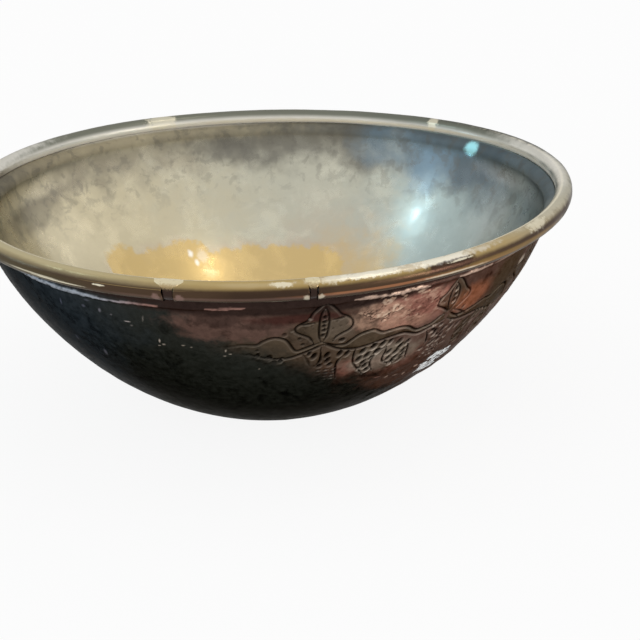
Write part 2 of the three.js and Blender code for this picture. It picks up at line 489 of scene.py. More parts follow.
VINE = {
    "upper_before": [
        (-27.2, 20.6), (-26.2, 22), (-24.4, 23.6), (-22, 23.5), (-19.6, 22.9), (-17.6, 22.2),
        (-15.6, 21.5), (-13.1, 21.7), (-11.9, 20.3), (-10.6, 19), (-9.4, 18.5), (-8.2, 18.9),
        (-7.2, 20), (-6.5, 22), (-5.9, 24.2), (-5.2, 25.6), (-3.6, 24.6), (-2.1, 23.4), (-0.8, 22.4),
    ],
    "upper_after": [
        (0, 22.4), (1, 23.5), (2.2, 24.4), (3.4, 24.7), (4.6, 24.6), (5.5, 23.2), (6.5, 21.6),
        (7.4, 20.6), (8.6, 19.9), (9.7, 19.6), (10.5, 19.9), (11.4, 21), (12.3, 21.7), (13.6, 21.4),
        (15.4, 21.1), (17, 21.3), (18.4, 22.2), (19.4, 23.6), (20.4, 24.5), (21.6, 24.3),
        (23.9, 23.5), (25.4, 21.5), (26.8, 20.5),
    ],
    "lower_before": [
        (-27.2, 23.8), (-25, 25.4), (-22.5, 26.2), (-18.6, 26.5), (-16.1, 26.6), (-13.6, 27.4),
        (-11.6, 28.6), (-9.6, 29.4), (-7.6, 29.4), (-5.9, 28.7), (-4.6, 27.6), (-2.6, 26),
        (-1, 24.4), (0, 23.6),
    ],
    "lower_after": [
        (0, 23.6), (1.4, 24.6), (2.8, 26.2), (4.4, 27.3), (6.2, 27.8), (8, 27.7), (9.9, 27),
        (11.8, 26.1), (13.8, 25.2), (15.6, 24.6), (17.5, 24.5), (18.9, 25.4), (20.4, 26.5),
        (21.5, 26.8), (22.8, 26.2), (24.2, 25.4), (25.4, 25.2), (27.4, 23.8),
    ],
}
LEAVES_BELOW = {
    "trunk_left": [(-0.4, 24.8), (-0.2, 30), (-0.4, 33), (-1.3, 35.2)],
    "trunk_right": [(4.6, 31.2), (3.8, 33), (3.5, 36), (3.8, 40), (4.3, 45)],
    "outer": [(7, 27.9), (7, 31.5), (7.3, 35.5), (8.2, 38.5), (9.4, 41.5), (10.9, 44.8)],
    "inner": [(14.1, 30.2), (12.6, 32.2), (11.8, 35), (11.7, 38), (12.3, 41), (13.2, 43.6)],
    "crescent": [
        (14.2, 30.2), (14.6, 33), (14.5, 36), (14.8, 38.6), (16, 40.3), (17.6, 41.8), (19.1, 42.5),
    ],
    "second": [(19, 29.5), (20.1, 32.5), (20.7, 36), (21.2, 39), (21.6, 41)],
    "last": [(23.6, 27.2), (24.6, 30), (25.2, 33), (25.5, 35)],
}
PUNCHED_LEAVES = [
    [
        (7.3, 28.6), (9.5, 28), (11.8, 27.2), (13.8, 26.5), (15, 26.6), (14.1, 29.6), (12.4, 31.8),
        (11.5, 35), (11.4, 38), (12, 41), (12.6, 43), (11, 43.6), (9.6, 41.2), (8.5, 38.2),
        (7.6, 35.2), (7.3, 31.5),
    ],
    [
        (15.2, 29.5), (18.4, 29), (19.6, 32.5), (20.2, 36), (20.6, 39), (20.9, 41.2), (18.6, 41.6),
        (16.6, 39.8), (15.4, 38), (15.1, 35.5), (15.3, 32.5),
    ],
]
# Punch marks: degrees, mm down, half width and half height in mm, share of the full depth
TALL_PUNCHES = [
    (-0.2, 10.9, 0.8, 0.8, 1), (-0.2, 13, 0.9, 0.75, 1), (-0.25, 14.8, 0.8, 0.7, 1),
    (-0.2, 16.7, 0.85, 0.75, 1), (-0.3, 19, 0.7, 0.8, 1), (-2.5, 14.2, 0.45, 0.4, 0.5),
    (2.2, 13.1, 0.45, 0.4, 0.6), (3, 15.4, 0.4, 0.4, 0.5), (1.5, 16.3, 0.4, 0.4, 0.5),
    (4.1, 14.7, 0.4, 0.4, 0.4), (3.6, 22.2, 1, 0.9, 1.2), (-4.1, 22.7, 0.6, 0.6, 0.9),
    (-4.7, 19.7, 0.6, 0.6, 0.8), (-7.6, 17.3, 0.8, 0.8, 0.7), (-12.9, 24.6, 0.6, 0.6, 0.8),
]
BROAD_PUNCHES = [
    (-0.1, 9.6, 0.7, 1.2, 1), (0.1, 12.6, 0.7, 0.8, 0.9), (0.2, 15, 0.75, 1.1, 1),
    (-2.4, 14.4, 0.4, 0.4, 0.5), (3, 14, 0.45, 0.4, 0.5), (4.6, 20.4, 0.7, 0.7, 0.8),
    (-2.5, 25.2, 0.8, 0.6, 0.9), (-1.7, 28, 1.0, 0.8, 1), (-0.3, 26.2, 0.9, 0.7, 1),
    (1.6, 28.4, 0.9, 0.8, 1), (0.3, 31.6, 1.0, 0.8, 1), (2.7, 26.3, 0.8, 0.7, 0.9),
    (-0.6, 36, 1.0, 0.8, 0.9), (-2.8, 37.6, 1.0, 0.8, 0.9), (0.5, 39.5, 1.0, 0.8, 0.9),
    (3.4, 34.6, 1.0, 0.8, 0.9), (2.4, 41.5, 1.0, 0.8, 0.9), (4.8, 38.6, 1.0, 0.8, 0.9),
]
LEAF_PUNCHES = [
    (11.1, 28.3, 1.2, 0.85, 1), (13.1, 27.8, 1.05, 0.8, 1), (14.8, 27.4, 0.8, 0.7, 1),
    (8.9, 30.1, 1.1, 0.85, 1), (12.3, 31.7, 1.3, 0.75, 1), (10.2, 33, 1.1, 0.85, 1),
    (8.5, 34.6, 1.15, 0.85, 1), (9.9, 37.1, 1.1, 0.85, 1), (11.3, 35.2, 0.7, 0.6, 0.8),
    (10.7, 39.3, 1.1, 0.8, 1), (9.4, 40.2, 0.8, 0.7, 0.9), (11.7, 41.9, 1.2, 0.8, 1),
    (17.1, 28.6, 1.2, 0.8, 0.8), (15.5, 33.6, 1, 0.8, 1), (17.9, 31.8, 1.2, 0.85, 1),
    (19.4, 30.1, 1, 0.75, 1), (17.4, 34.5, 1.1, 0.8, 1), (19.5, 34.7, 1.1, 0.8, 1),
    (16.1, 37.7, 1, 0.8, 1), (18, 38.4, 1.15, 0.8, 1), (19.8, 37.6, 1, 0.8, 1),
    (17.6, 41, 1.1, 0.75, 1), (19.8, 40.6, 1, 0.75, 0.9),
]
TRUNK_PUNCHES = [
    (1.1, 29.3, 1, 0.75, 1), (1.4, 32.3, 1, 0.75, 1), (-0.2, 35, 1, 0.55, 1),
    (2, 35, 1, 0.55, 1), (3.8, 29.2, 1, 0.8, 1.1), (5.4, 29.8, 0.9, 0.75, 1),
    (-1.6, 29.2, 1, 0.8, 1.1), (-2.6, 27.5, 0.8, 0.65, 1),
]
DASH_ROWS = (38, 40.1, 42.2, 44.2)  # mm down, across the trunk
DASH_PLACES = (-0.2, 1.5, 3.1)
DASH = (0.75, 0.42, 0.9)  # half width and half height in mm, share of the full depth
PUNCH_SLANT = 0.25  # how far a punch mark leans, across for each mm down
LEAF_PUNCH = (0.85, 2.1)  # width and height of the marks in the leaves below, over those drawn
VINE_WIDTH = 1.15  # over the width of a palmette's lines
LEAF_WIDTH = 1.1
FAINT_LEAF = 0.55  # depth of the leaves that hang under the broad palmettes
STRAY = (0.35, 0.6)  # how far a path strays across and down, in wobbles

# Small painted glints, each also raised a little: degrees round the bowl, mm down the wall, half width and
# half height in mm, and strength
GLINTS = [
    (-134.5, 9.5, 0.4, 1.6, 0.4), (-126.5, 5.2, 1.2, 0.4, 0.25), (-124, 8.6, 0.6, 1.0, 0.5),
    (-128, 8.4, 0.9, 0.7, 0.3), (-121.5, 9.6, 0.5, 0.4, 0.35), (-137.5, 29.5, 0.6, 1.5, 0.35),
    (-130.2, 34, 0.7, 2.0, 0.4), (-118.2, 11.6, 1.2, 0.3, 1.0), (-117.6, 13.4, 0.6, 0.3, 0.35),
    (-114.5, 9.2, 0.25, 1.4, 0.3), (-112.6, 19.6, 0.3, 1.1, 0.8), (-112, 21.4, 0.7, 0.3, 0.7),
    (-113.1, 22.4, 0.5, 0.3, 0.6), (-107.8, 20.9, 0.7, 0.3, 0.5), (-106.2, 21.5, 0.4, 0.3, 0.4),
    (-99.4, 22.6, 0.3, 0.7, 0.6), (-98.6, 24.4, 0.5, 0.3, 0.6), (-99.8, 25.6, 0.5, 0.3, 0.5),
    (-93.2, 33.4, 0.3, 0.5, 0.3), (-86.5, 13.6, 0.7, 0.4, 0.2), (-83.2, 8.6, 0.9, 0.3, 0.35),
    (-30, 8.5, 2.2, 1.9, 1.0),
]

# The drawing's mm down are stretched a little along the wall
DRAWING_STRETCH = 1.05
DRAWING_START = -3.3 * MM

FRIEZE_END = 47 * MM  # below it the wall is plain
COLUMNS = 1792  # round the frieze. Rings of points halve from here down to 28
ROW = 0.4 * MM
FAR_AWAY = 9.0  # half widths from a line or a punch mark, where it no longer shows
LINE_SPARE = 2.6  # half widths beside a line that are looked at
TAPER_STEPS = 4  # over which a line thins out
TAPER_LEAST = 0.35
PIT_THROWS = (0.45, 0.85)  # across and down, where a punch mark throws up its metal
GROOVE_FLAT = 1.15  # over 1 gives a flat bottom
PIT_FLAT = 1.5
LINE_CREST = (1.55, 0.4)  # where the metal beside a line is highest, and how wide it is, in half widths
PIT_CREST = (1.4, 0.19)
LINE_CREST_HEIGHT = 0.6  # over that beside a punch mark
LINE_CREST_UPPER = 0.15  # share of it on a line's upper side
LINE_WEAR_AND_GLINT = (0.1, 0.25)  # how bright it is painted, as rubbed metal and painted highlight, at least and added on the near right
PIT_DIRT = 0.97


def real_angle(degrees, pair):
    """Where a drawing's angle falls on the bowl, in radians. The pitch narrows away from the near side."""
    pitches = degrees / PITCH + 2 * pair
    mean = 360 / (2 * PAIRS)
    drift = SQUEEZE * mean * PAIRS / math.pi * np.sin(math.pi * pitches / PAIRS)
    return np.radians(NEAR_TALL + mean * pitches + drift)


def real_down(drawn):
    """How far down the wall a drawing's mm fall."""
    return DRAWING_STRETCH * drawn * MM + DRAWING_START


def smooth_path(points, steps=4):
    """A curve through the points, (n, 2), with some steps between each two."""
    points = np.array(points, float)
    ends = np.vstack((2 * points[0] - points[1], points, 2 * points[-1] - points[-2]))
    before, here, after, beyond = (ends[i : len(points) - 1 + i, None] for i in range(4))
    t = np.linspace(0, 1, steps, endpoint=False)[None, :, None]
    curve = 0.5 * (
        2 * here
        + (after - before) * t
        + (2 * before - 5 * here + 4 * after - beyond) * t**2
        + (3 * here - before - 3 * after + beyond) * t**3
    )
    return np.vstack((curve.reshape(-1, 2), points[-1:]))


class Frieze:
    """The ornament on a grid of rows down the wall and columns round it."""

    def __init__(self, section, rows, relief):
        self.down = rows
        self.reach = section.at(rows)[0][:, 0]
        self.turn = turns_round(COLUMNS)
        self.relief = relief
        shape = (len(rows), COLUMNS)
        self.line = np.full(shape, FAR_AWAY)  # distance to the nearest line, in half widths
        self.line_depth = np.zeros(shape)
        self.pit = np.full(shape, FAR_AWAY)  # distance to the nearest punch mark, in half widths
        self.pit_depth = np.zeros(shape)
        self.pit_side = np.zeros(shape)  # how far a place lies on that mark's lower side
        self.glint = np.zeros(shape)
        self.leaf = np.zeros(shape)

    def window(self, turn, down, margin):
        """Rows and columns near some points, the columns' angles and the rows' reaches."""
        rows = np.flatnonzero((self.down > down.min() - margin) & (self.down < down.max() + margin))
        if not len(rows):
            return None
        reach = self.reach[rows]
        spare = margin / reach.min()
        step = TURN / COLUMNS
        first = math.floor((turn.min() - spare + math.pi) / step)
        last = math.ceil((turn.max() + spare + math.pi) / step)
        columns = np.arange(first, last + 1)
        place = -math.pi + columns * step
        return rows, columns % COLUMNS, place, reach

    def cut(self, turn, down, depth=1.0, width=1.0):
        """Engraves a line through points. It thins out at its ends."""
        half = self.relief.groove_width / 2 * width
        margin = LINE_SPARE * half
        from_start = np.arange(len(turn))
        taper = np.clip(np.minimum(from_start, from_start[::-1]) / TAPER_STEPS, TAPER_LEAST, 1)
        for i in range(len(turn) - 1):
            found = self.window(turn[i : i + 2], down[i : i + 2], margin)
            if found is None:
                continue
            rows, columns, place, reach = found
            x = (place[None, :] - turn[i]) * reach[:, None]
            y = self.down[rows][:, None] - down[i] + 0 * x
            dx = (turn[i + 1] - turn[i]) * reach[:, None]
            dy = down[i + 1] - down[i]
            t = np.clip((x * dx + y * dy) / (dx**2 + dy**2 + 1e-18), 0, 1)
            own = half * (taper[i] + (taper[i + 1] - taper[i]) * t)
            near = np.hypot(x - t * dx, y - t * dy) / own
            grid = np.ix_(rows, columns)
            self.line_depth[grid] = np.where(near < self.line[grid], depth, self.line_depth[grid])
            self.line[grid] = np.minimum(self.line[grid], near)

    def spot(self, turn, down, half_width, half_height):
        """Grid places round a spot, with their distances across and down in half sizes."""
        margin = 2 * max(half_width, half_height)
        found = self.window(np.array([turn]), np.array([down]), margin)
        if found is None:
            return None
        rows, columns, place, reach = found
        below = self.down[rows][:, None] - down
        across = (place[None, :] - turn) * reach[:, None] + PUNCH_SLANT * below
        return np.ix_(rows, columns), across / half_width, below / half_height + 0 * across

    def stamp(self, turn, down, half_width, half_height, depth):
        """Strikes one punch mark. The punch leans and throws metal up on its lower side."""
        found = self.spot(turn, down, half_width, half_height)
        if found is None:
            return
        grid, x, y = found
        near = np.hypot(x, y)
        closer = near < self.pit[grid]
        side = np.clip((PIT_THROWS[1] * y + PIT_THROWS[0] * x) / (near + 1e-9), 0, 1)
        self.pit_depth[grid] = np.where(closer, depth, self.pit_depth[grid])
        self.pit_side[grid] = np.where(closer, side, self.pit_side[grid])
        self.pit[grid] = np.minimum(self.pit[grid], near)

    def paint_glint(self, turn, down, half_width, half_height, strength):
        """Leaves one small painted glint."""
        found = self.spot(turn, down, half_width, half_height)
        if found is None:
            return
        grid, x, y = found
        bright = strength * np.clip(1.5 - 1.2 * np.hypot(x, y), 0, 1)
        self.glint[grid] = np.maximum(self.glint[grid], bright)

    def fill(self, turn, down):
        """Marks the inside of an outline as leaf."""
        found = self.window(turn, down, 0.2 * MM)
        if found is None:
            return
        rows, columns, place, _ = found
        x, y = place[None, :], self.down[rows][:, None]
        inside = np.zeros((len(rows), len(columns)), bool)
        for a in range(len(turn)):
            b = (a + 1) % len(turn)
            if down[a] == down[b]:
                continue
            crosses = (down[a] > y) != (down[b] > y)
            inside ^= crosses & (x < turn[a] + (turn[b] - turn[a]) * (y - down[a]) / (down[b] - down[a]))
        grid = np.ix_(rows, columns)
        self.leaf[grid] = np.maximum(self.leaf[grid], inside)


def draw_frieze(frieze, relief):
    """Engraves and punches every pair of palmettes round the bowl."""
    random = np.random.default_rng(11)

    def stray(points):
        """The points of a path as a hand would place them, in degrees and mm."""
        drift = random.normal(0, 1, (len(points), 2))
        drift = np.cumsum(drift, axis=0) / np.sqrt(np.arange(1, len(points) + 1))[:, None]
        amount = np.array(STRAY) * relief.wobble / MM
        return np.array(points, float) + drift * amount

    for pair in range(PAIRS):
        # The near pair is drawn as it is, the others by a hand that strays.
        hand = 0.0 if pair == 0 else relief.wobble / MM

        def place(points, shift=0.0):
            path = smooth_path(points if pair == 0 else stray(points))
            return real_angle(path[:, 0] + shift, pair), real_down(path[:, 1])

        def strike(marks, shift=0.0, punch=(1.0, 1.0)):
            for x, y, half_width, half_height, depth in marks:
                dx, dy = hand * random.normal(0, 1, 2)
                turn = real_angle(x + dx + shift, pair)
                wide, tall = punch[0] * half_width * MM, punch[1] * half_height * MM
                frieze.stamp(turn, real_down(y + dy), wide, tall, depth)

        for path in TALL_PALMETTE.values():
            frieze.cut(*place(path))
        for path in BROAD_PALMETTE.values():
            frieze.cut(*place(path, PITCH))
        for path in VINE.values():
            frieze.cut(*place(path), width=VINE_WIDTH)
        outlines = (
            (TALL_PALMETTE["left"] + TALL_PALMETTE["right"][::-1], 0),
            (BROAD_PALMETTE["left"] + BROAD_PALMETTE["right"][::-1], PITCH),
            (VINE["upper_before"] + VINE["lower_before"][::-1], 0),
            (VINE["upper_after"] + VINE["lower_after"][::-1], 0),
            *((leaf, shift) for leaf in PUNCHED_LEAVES for shift in (0, -PITCH)),
        )
        for outline, shift in outlines:
            points = np.array(outline, float)
            frieze.fill(real_angle(points[:, 0] + shift, pair), real_down(points[:, 1]))
        strike(TALL_PUNCHES)
        strike(BROAD_PUNCHES, PITCH)
        for shift, depth in ((0, 1.0), (-PITCH, FAINT_LEAF)):
            for path in LEAVES_BELOW.values():
                frieze.cut(*place(path, shift), depth=depth, width=LEAF_WIDTH)
            strike(LEAF_PUNCHES, shift, LEAF_PUNCH)
            strike(TRUNK_PUNCHES, shift, LEAF_PUNCH)
            strike([(x, y, *DASH) for y in DASH_ROWS for x in DASH_PLACES], shift)
    for degrees, down, half_width, half_height, strength in GLINTS:
        frieze.paint_glint(math.radians(degrees), down * MM, half_width * MM, half_height * MM, strength)


# The crust on the near left, in degrees from and to: where it starts, where it ends, and where it ends
# lower down. Its slanted edge lies some mm down at one angle, and goes down by some mm per degree.
CRUST_START = (-165, -155)
CRUST_END = (-103, -88)
CRUST_END_LOW = (-80, -77)
CRUST_EDGE_ANGLE = -81
CRUST_EDGE_DOWN = 37
CRUST_EDGE_SLOPE = 0.94
CRUST_FILLS = 0.97  # of the engraving's depth

# The stretch, in degrees, where raised edges are painted brightest, as rubbed metal and painted highlight,
# from and to at either end
BRIGHT_START = (-78, -68)
BRIGHT_END = (-57, -42)
BRIGHT_LEAST = 0.25


def filled_share(turn, down):
    """How far crust fills the engraving, which it does on the near left and below a slanted line."""
    degrees = np.degrees(turn)[None, :]
    started = soft_step(degrees, *CRUST_START)
    high = 1 - soft_step(degrees, *CRUST_END)
    edge = CRUST_EDGE_DOWN + CRUST_EDGE_SLOPE * (degrees - CRUST_EDGE_ANGLE)
    low = soft_step(down[:, None] / MM - edge, -1, 3) * (1 - soft_step(degrees, *CRUST_END_LOW))
    return CRUST_FILLS * started * np.maximum(high, low)


def crest_share(turn):
    """How bright the metal thrown up by the tools is painted, most on the near right: rubbed metal and
    painted highlight.
    """
    degrees = np.degrees(turn)
    here = soft_step(degrees, *BRIGHT_START) * (1 - soft_step(degrees, *BRIGHT_END))
    return BRIGHT_LEAST + (1 - BRIGHT_LEAST) * here


def frieze_surface(frieze, relief):
    """Heights of the ornament's grid above the plain wall, and its marks for the material."""
    open_share = 1 - filled_share(frieze.turn, frieze.down)
    line = np.clip(GROOVE_FLAT - frieze.line**2, 0, 1) * frieze.line_depth * open_share
    pit = np.clip(PIT_FLAT - frieze.pit**2, 0, 1) * frieze.pit_depth * open_share
    slope_down, slope_round = np.gradient(frieze.line)
    lower = slope_down / (np.hypot(slope_down, slope_round) + 1e-6)
    sided = np.clip(LINE_CREST_UPPER + (1 - LINE_CREST_UPPER) * lower, 0, 1)
    beside = bell(frieze.line, *LINE_CREST) * sided
    rim = bell(frieze.pit, *PIT_CREST) * frieze.pit_side**2
    line_crest = beside * frieze.line_depth * open_share
    pit_crest = rim * frieze.pit_depth * open_share
    thrown = np.maximum(LINE_CREST_HEIGHT * line_crest, pit_crest)
    height = relief.burr * (thrown + frieze.glint) - relief.groove_depth * line - relief.punch_depth * pit
    bright = crest_share(frieze.turn)[None, :]
    # Raised metal painted brighter: partly rubbed metal, partly painted highlight, most on the near right.
    wear_and_glint_least, wear_and_glint_more = LINE_WEAR_AND_GLINT
    rubbed = np.maximum((wear_and_glint_least + wear_and_glint_more * bright) * line_crest, bright * pit_crest)
    marks = {
        "groove": np.maximum(line, PIT_DIRT * np.clip(pit, 0, 1)),
        "rubbed": np.maximum(rubbed, frieze.glint),
        "leaf": frieze.leaf * open_share,
    }
    return height, marks


# Shell


def hand_marks(places, relief):
    """Broad dents and fine hammer marks, as heights over the plain wall."""
    broad = layers(places, (1, 34 * MM, 3), (0.5, 15 * MM, 4))
    hammered = np.abs(cloud(places, 8 * MM, 5)) + 0.5 * cloud(places, 3.2 * MM, 6)
    return relief.dents * broad + relief.facets * hammered


BUMPY = (-48, 58, 24, 22)  # degrees, mm down, half width in degrees, half height in mm


def low_bumps(places, down, turn, relief):
    """Bumps low on the near right, where the crust is thick."""
    apart = from_spot(np.degrees(turn), down / MM, BUMPY)
    lumps = layers(places, (1, 6.5 * MM, 61), (0.35, 2.6 * MM, 62))
    return relief.bumps * lumps * soft_step(apart, 1.2, 0.4)


BORDER = 2.2 * MM  # how far down the border ridge runs
BORDER_HALF = 0.65 * MM
BORDER_LEAST = 0.25  # share of its height that is left where it is worn
BORDER_SAG = 0.95 * MM  # how much lower it runs on the near left
SAG_MIDDLE = -125  # degrees
SAG_HALF = 15
BORDER_STRAY = ((0.3 * MM, 9 * MM, 22), (0.12 * MM, 1.6 * MM, 23))  # layers of noise
CRUMBS = ((1, 1.5 * MM, 24), (0.5, 0.7 * MM, 25))
# Painted highlights along stretches of the border: degrees from and to, strength, half width in mm
BORDER_STREAKS = [
    (-148, -119, 0.9, 0.85), (-121, -110, 0.9, 0.55), (-102, -94.5, 0.8, 0.55), (-75.5, -68, 0.8, 0.6),
    (-70, -60, 0.95, 0.8), (-53.5, -43.5, 0.85, 0.6), (-44, -22, 0.4, 0.5), (-10, 15, 0.5, 0.6),
    (40, 62, 0.6, 0.7), (100, 128, 0.5, 0.6), (165, 178, 0.6, 0.6),
]

# Where the crust has flaked: degrees, mm down, half width in degrees, half height in mm, strength
FLAKED = [(-69.5, 9.8, 4.8, 4.4, 1.0), (-61, 10.2, 6.5, 6.5, 0.4), (-66, 4.4, 9.0, 1.8, 0.7)]


def border_ridge(down, turn):
    """The raised border above the frieze as a share of its height, and its painted highlight."""
    spots = around_axis(0.1, 0.0, turn)
    degrees = np.degrees(turn)
    stray = layers(spots, *BORDER_STRAY) + BORDER_SAG * bell(degrees, SAG_MIDDLE, SAG_HALF)
    off = down - BORDER - stray
    ridge = bell(off, 0, BORDER_HALF)
    broken = np.clip(0.8 + 0.7 * cloud(spots, 14 * MM, 21), BORDER_LEAST, 1)
    crumbs = layers(spots + (0, 0, 2 * down), *CRUMBS)
    crumbled = np.clip(0.95 + 0.6 * crumbs, 0, 1)
    bright = 0 * turn
    for first, last, strength, half in BORDER_STREAKS:
        along = np.clip((degrees - first) / (last - first), 0, 1)
        width = half * MM * np.sin(math.pi * along) ** 0.6 * (1 + 0.3 * crumbs)
        apart = np.abs(off) / (width + 1e-6)
        bright = np.maximum(bright, strength * soft_step(apart, 1.15, 0.7) * crumbled)
    return np.maximum(ridge * broken, bright), bright


def flaked_crust(places, down, turn):
    """Plates of flaked crust: where they stand proud, and the cracks between them."""
    degrees = np.degrees(turn)
    here = 0 * turn
    for *spot, strength in FLAKED:
        apart = from_spot(degrees, down / MM, spot)
        here = np.maximum(here, strength * soft_step(apart, 1.3, 0.4))
    along = 0.1 * turn
    slanted = np.stack((0.6 * along, down + 0.22 * along, 0 * turn), axis=-1)
    plates = layers(slanted, (1, 1.8 * MM, 51), (0.9, 0.75 * MM, 52))
    crack = bell(plates, -0.1, 0.15) * soft_step(cloud(places, 3 * MM, 53), -0.3, 0.1)
    sunk = 0.4 * soft_step(plates, -0.5, -1.0)
    return here * soft_step(plates, 0.12, 0.5), np.sqrt(here) * np.maximum(crack, sunk)


CRACK_DEPTH = 1.4  # over the crust's thickness

# Rows of points on the flat of the base: share of its radius, columns round it
UNDERSIDE_ROWS = [(0.06, 28), (0.14, 56), (0.28, 112), (0.5, 224), (0.75, 448), (0.93, 448)]
FLOOR_ROWS = [(0.95, 112), (0.5, 56), (0.2, 28)]

# Columns round the wall, and how far apart its rows are
FINE_COLUMNS = COLUMNS // 2
MIDDLE_COLUMNS = COLUMNS // 4
COARSE_COLUMNS = COLUMNS // 8
LOW_WALL = 72 * MM  # from here down the rows lie further apart
LOW_STEP = 1.4 * MM
MIDDLE_STEP = 0.9 * MM
NECK_STEP = 0.5 * MM
PLAIN_FOOT = 2 * MM  # the hammer marks end this far from the base
INNER_TOP = -1.5 * MM  # first row of the inner face after the lip's end
FOOT_MARGIN = 1 * MM  # the inner wall's last row stays this far from the floor
INNER_ROWS = 34


def build_shell(scene):
    """The copper, from the middle of the underside up the wall, round the lip and down inside."""
    sizes, relief = scene.bowl_sizes, scene.bowl_relief
    outside = Section(sizes)
    inside = Section(sizes, sizes.sheet)
    rows = np.arange(ROW, FRIEZE_END, ROW)
    frieze = Frieze(outside, rows, relief)
    draw_frieze(frieze, relief)
    ornament, drawn = frieze_surface(frieze, relief)

    # The rubbed mark holds wear and painted glints, the streak mark painted highlights along the border.
    drawn_marks = ("groove", "rubbed", "streak", "leaf", "flaked")
    rings, marks = [], {mark: [] for mark in (*drawn_marks, "down")}

    def add(reach, height, columns, down, own=None):
        rings.append(ring(reach, height, columns))
        count = len(rings[-1])
        for mark in drawn_marks:
            marks[mark].append(own[mark] if own else np.zeros(count))
        marks["down"].append(np.full(count, down))

    def add_wall(section, down, columns, height=0.0, marked=True, own=None):
        point, inward = section.at(down)
        turn = turns_round(columns)
        flat = ring(point[0], point[1], columns)
        if marked:
            height = height + hand_marks(flat, relief) + low_bumps(flat, down, turn, relief)
        if own:
            ridge, bright = border_ridge(down, turn)
            proud, crack = flaked_crust(flat, down, turn)
            height = height + relief.border * ridge + relief.flakes * (proud - CRACK_DEPTH * crack)
            # painted highlight along the border ridge
            own["streak"] = bright
            own["groove"] = np.maximum(own["groove"], crack)
            own["flaked"] = proud
        add(point[0] - inward[0] * height, point[1] - inward[1] * height, columns, down, own)

    foot = outside.bottom
    add(0.0, 0.0, 1, foot)
    for part, columns in UNDERSIDE_ROWS:
        add(part * sizes.base_reach, 0.0, columns, foot)
    for down in np.arange(foot, LOW_WALL, -LOW_STEP):
        add_wall(outside, down, MIDDLE_COLUMNS, marked=down < foot - PLAIN_FOOT)
    for down in np.arange(LOW_WALL, FRIEZE_END, -MIDDLE_STEP):
        add_wall(outside, down, FINE_COLUMNS)
    for i in range(len(rows) - 1, -1, -1):
        own = {mark: values[i] for mark, values in drawn.items()}
        add_wall(outside, rows[i], COLUMNS, ornament[i], own=own)
    for down in np.arange(0, outside.top, -NECK_STEP):
        add_wall(outside, down, FINE_COLUMNS)
    add_wall(outside, outside.top, FINE_COLUMNS, marked=False)
    add_wall(inside, outside.top, MIDDLE_COLUMNS, marked=False)
    for down in np.linspace(INNER_TOP, foot - FOOT_MARGIN, INNER_ROWS):
        add_wall(inside, down, COARSE_COLUMNS, marked=False)
    for part, columns in FLOOR_ROWS:
        add(part * sizes.base_reach, sizes.sheet, columns, foot)
    add(0.0, sizes.sheet, 1, foot)

    places = np.vstack(rings)
    joined = {mark: np.concatenate(values) for mark, values in marks.items()}
    joined["down"] = joined["down"] / MM
    material = copper_material(scene.bowl_finish)
    return make_piece(
        "bowl_shell", places, ring_faces(rings), material, ["bowl_body"], joined
    )


# Silver skin


# Rows of points on its floor, on the back and on the face, as for the shell
SKIN_BACK_ROWS = [(0.1, 28), (0.4, 56), (0.8, 112)]
SKIN_FLOOR_ROWS = [(0.95, 448), (0.8, 224), (0.55, 112), (0.3, 56), (0.1, 28)]
SKIN_SHORT = 1.35 * MM  # how far it stops from the end of the lip
NECK_END = 1 * MM  # where the rows of its lip end
SKIN_WALL = 2 * MM  # and those of its wall start
BACK_STEPS = 40
LIP_STEPS = 10
SKIN_STEPS = 90
SKIN_MARKS = 0.55  # how strongly the hammer marks show in its wall
SKIN_MARKS_RANGE = (-0.15 * MM, 0.5 * MM)
FLOOR_MARKS = 0.3
FLOOR_MARKS_RANGE = (0, 0.5 * MM)


def build_plating(scene):
    """The silver, a thin closed skin over the copper's inner face."""
    sizes, relief = scene.bowl_sizes, scene.bowl_relief
    far = Section(sizes, sizes.sheet + sizes.plating_gap)
    near = Section(sizes, sizes.sheet + sizes.plating_gap + sizes.plating)
    floor_height = sizes.sheet + sizes.plating_gap
    top = near.top + SKIN_SHORT
    rings, downs = [], []

    def add(place, down):
        rings.append(place)
        downs.append(np.full(len(place), down / MM))

    add(ring(0.0, floor_height, 1), far.bottom)
    for part, columns in SKIN_BACK_ROWS:
        add(ring(part * sizes.base_reach, floor_height, columns), far.bottom)
    for down in np.linspace(far.bottom - FOOT_MARGIN, top, BACK_STEPS):
        point, _ = far.at(down)
        add(ring(point[0], point[1], COARSE_COLUMNS), down)
    upper = np.linspace(top, NECK_END, LIP_STEPS)
    lower = np.linspace(SKIN_WALL, near.bottom - FOOT_MARGIN, SKIN_STEPS)
    for down in np.concatenate((upper, lower)):
        point, inward = near.at(down)
        flat = ring(point[0], point[1], MIDDLE_COLUMNS)
        height = np.clip(SKIN_MARKS * hand_marks(flat, relief), *SKIN_MARKS_RANGE)
        moved = point[:, None] + inward[:, None] * height
        add(ring(moved[0], moved[1], MIDDLE_COLUMNS), down)
    floor_height += sizes.plating
    for part, columns in SKIN_FLOOR_ROWS:
        flat = ring(part * sizes.base_reach, floor_height, columns)
        flat[:, 2] += np.clip(FLOOR_MARKS * hand_marks(flat, relief), *FLOOR_MARKS_RANGE)
        add(flat, near.bottom)
    add(ring(0.0, floor_height, 1), near.bottom)
    material = silver_material(scene.bowl_finish)
    places, faces = np.vstack(rings), ring_faces(rings)
    marks = {"down": np.concatenate(downs)}
    return make_piece(
        "silver_skin", places, faces, material, ["silver_lining"], marks
    )


# Edging


STRIP_AROUND = 60  # points round the strip's outer face
STRIP_INSIDE = 18


class Joint(NamedTuple):
    """A soldered joint: its place in degrees, the gap between the strip's ends at the top and at the
    bottom, and half the width of the solder at the top and where it ends, all in mm."""

    place: float
    gap_top: float
    gap_low: float
    solder_top: float
    solder_low: float


JOINTS = {
    "left": Joint(-107, 4.4, 4.0, 5.2, 1.9),
    "right": Joint(-83.3, 3.6, 2.6, 2.8, 1.2),
}
SOLDER_END = math.radians(20)  # place on the oval below which the joint is open and dark


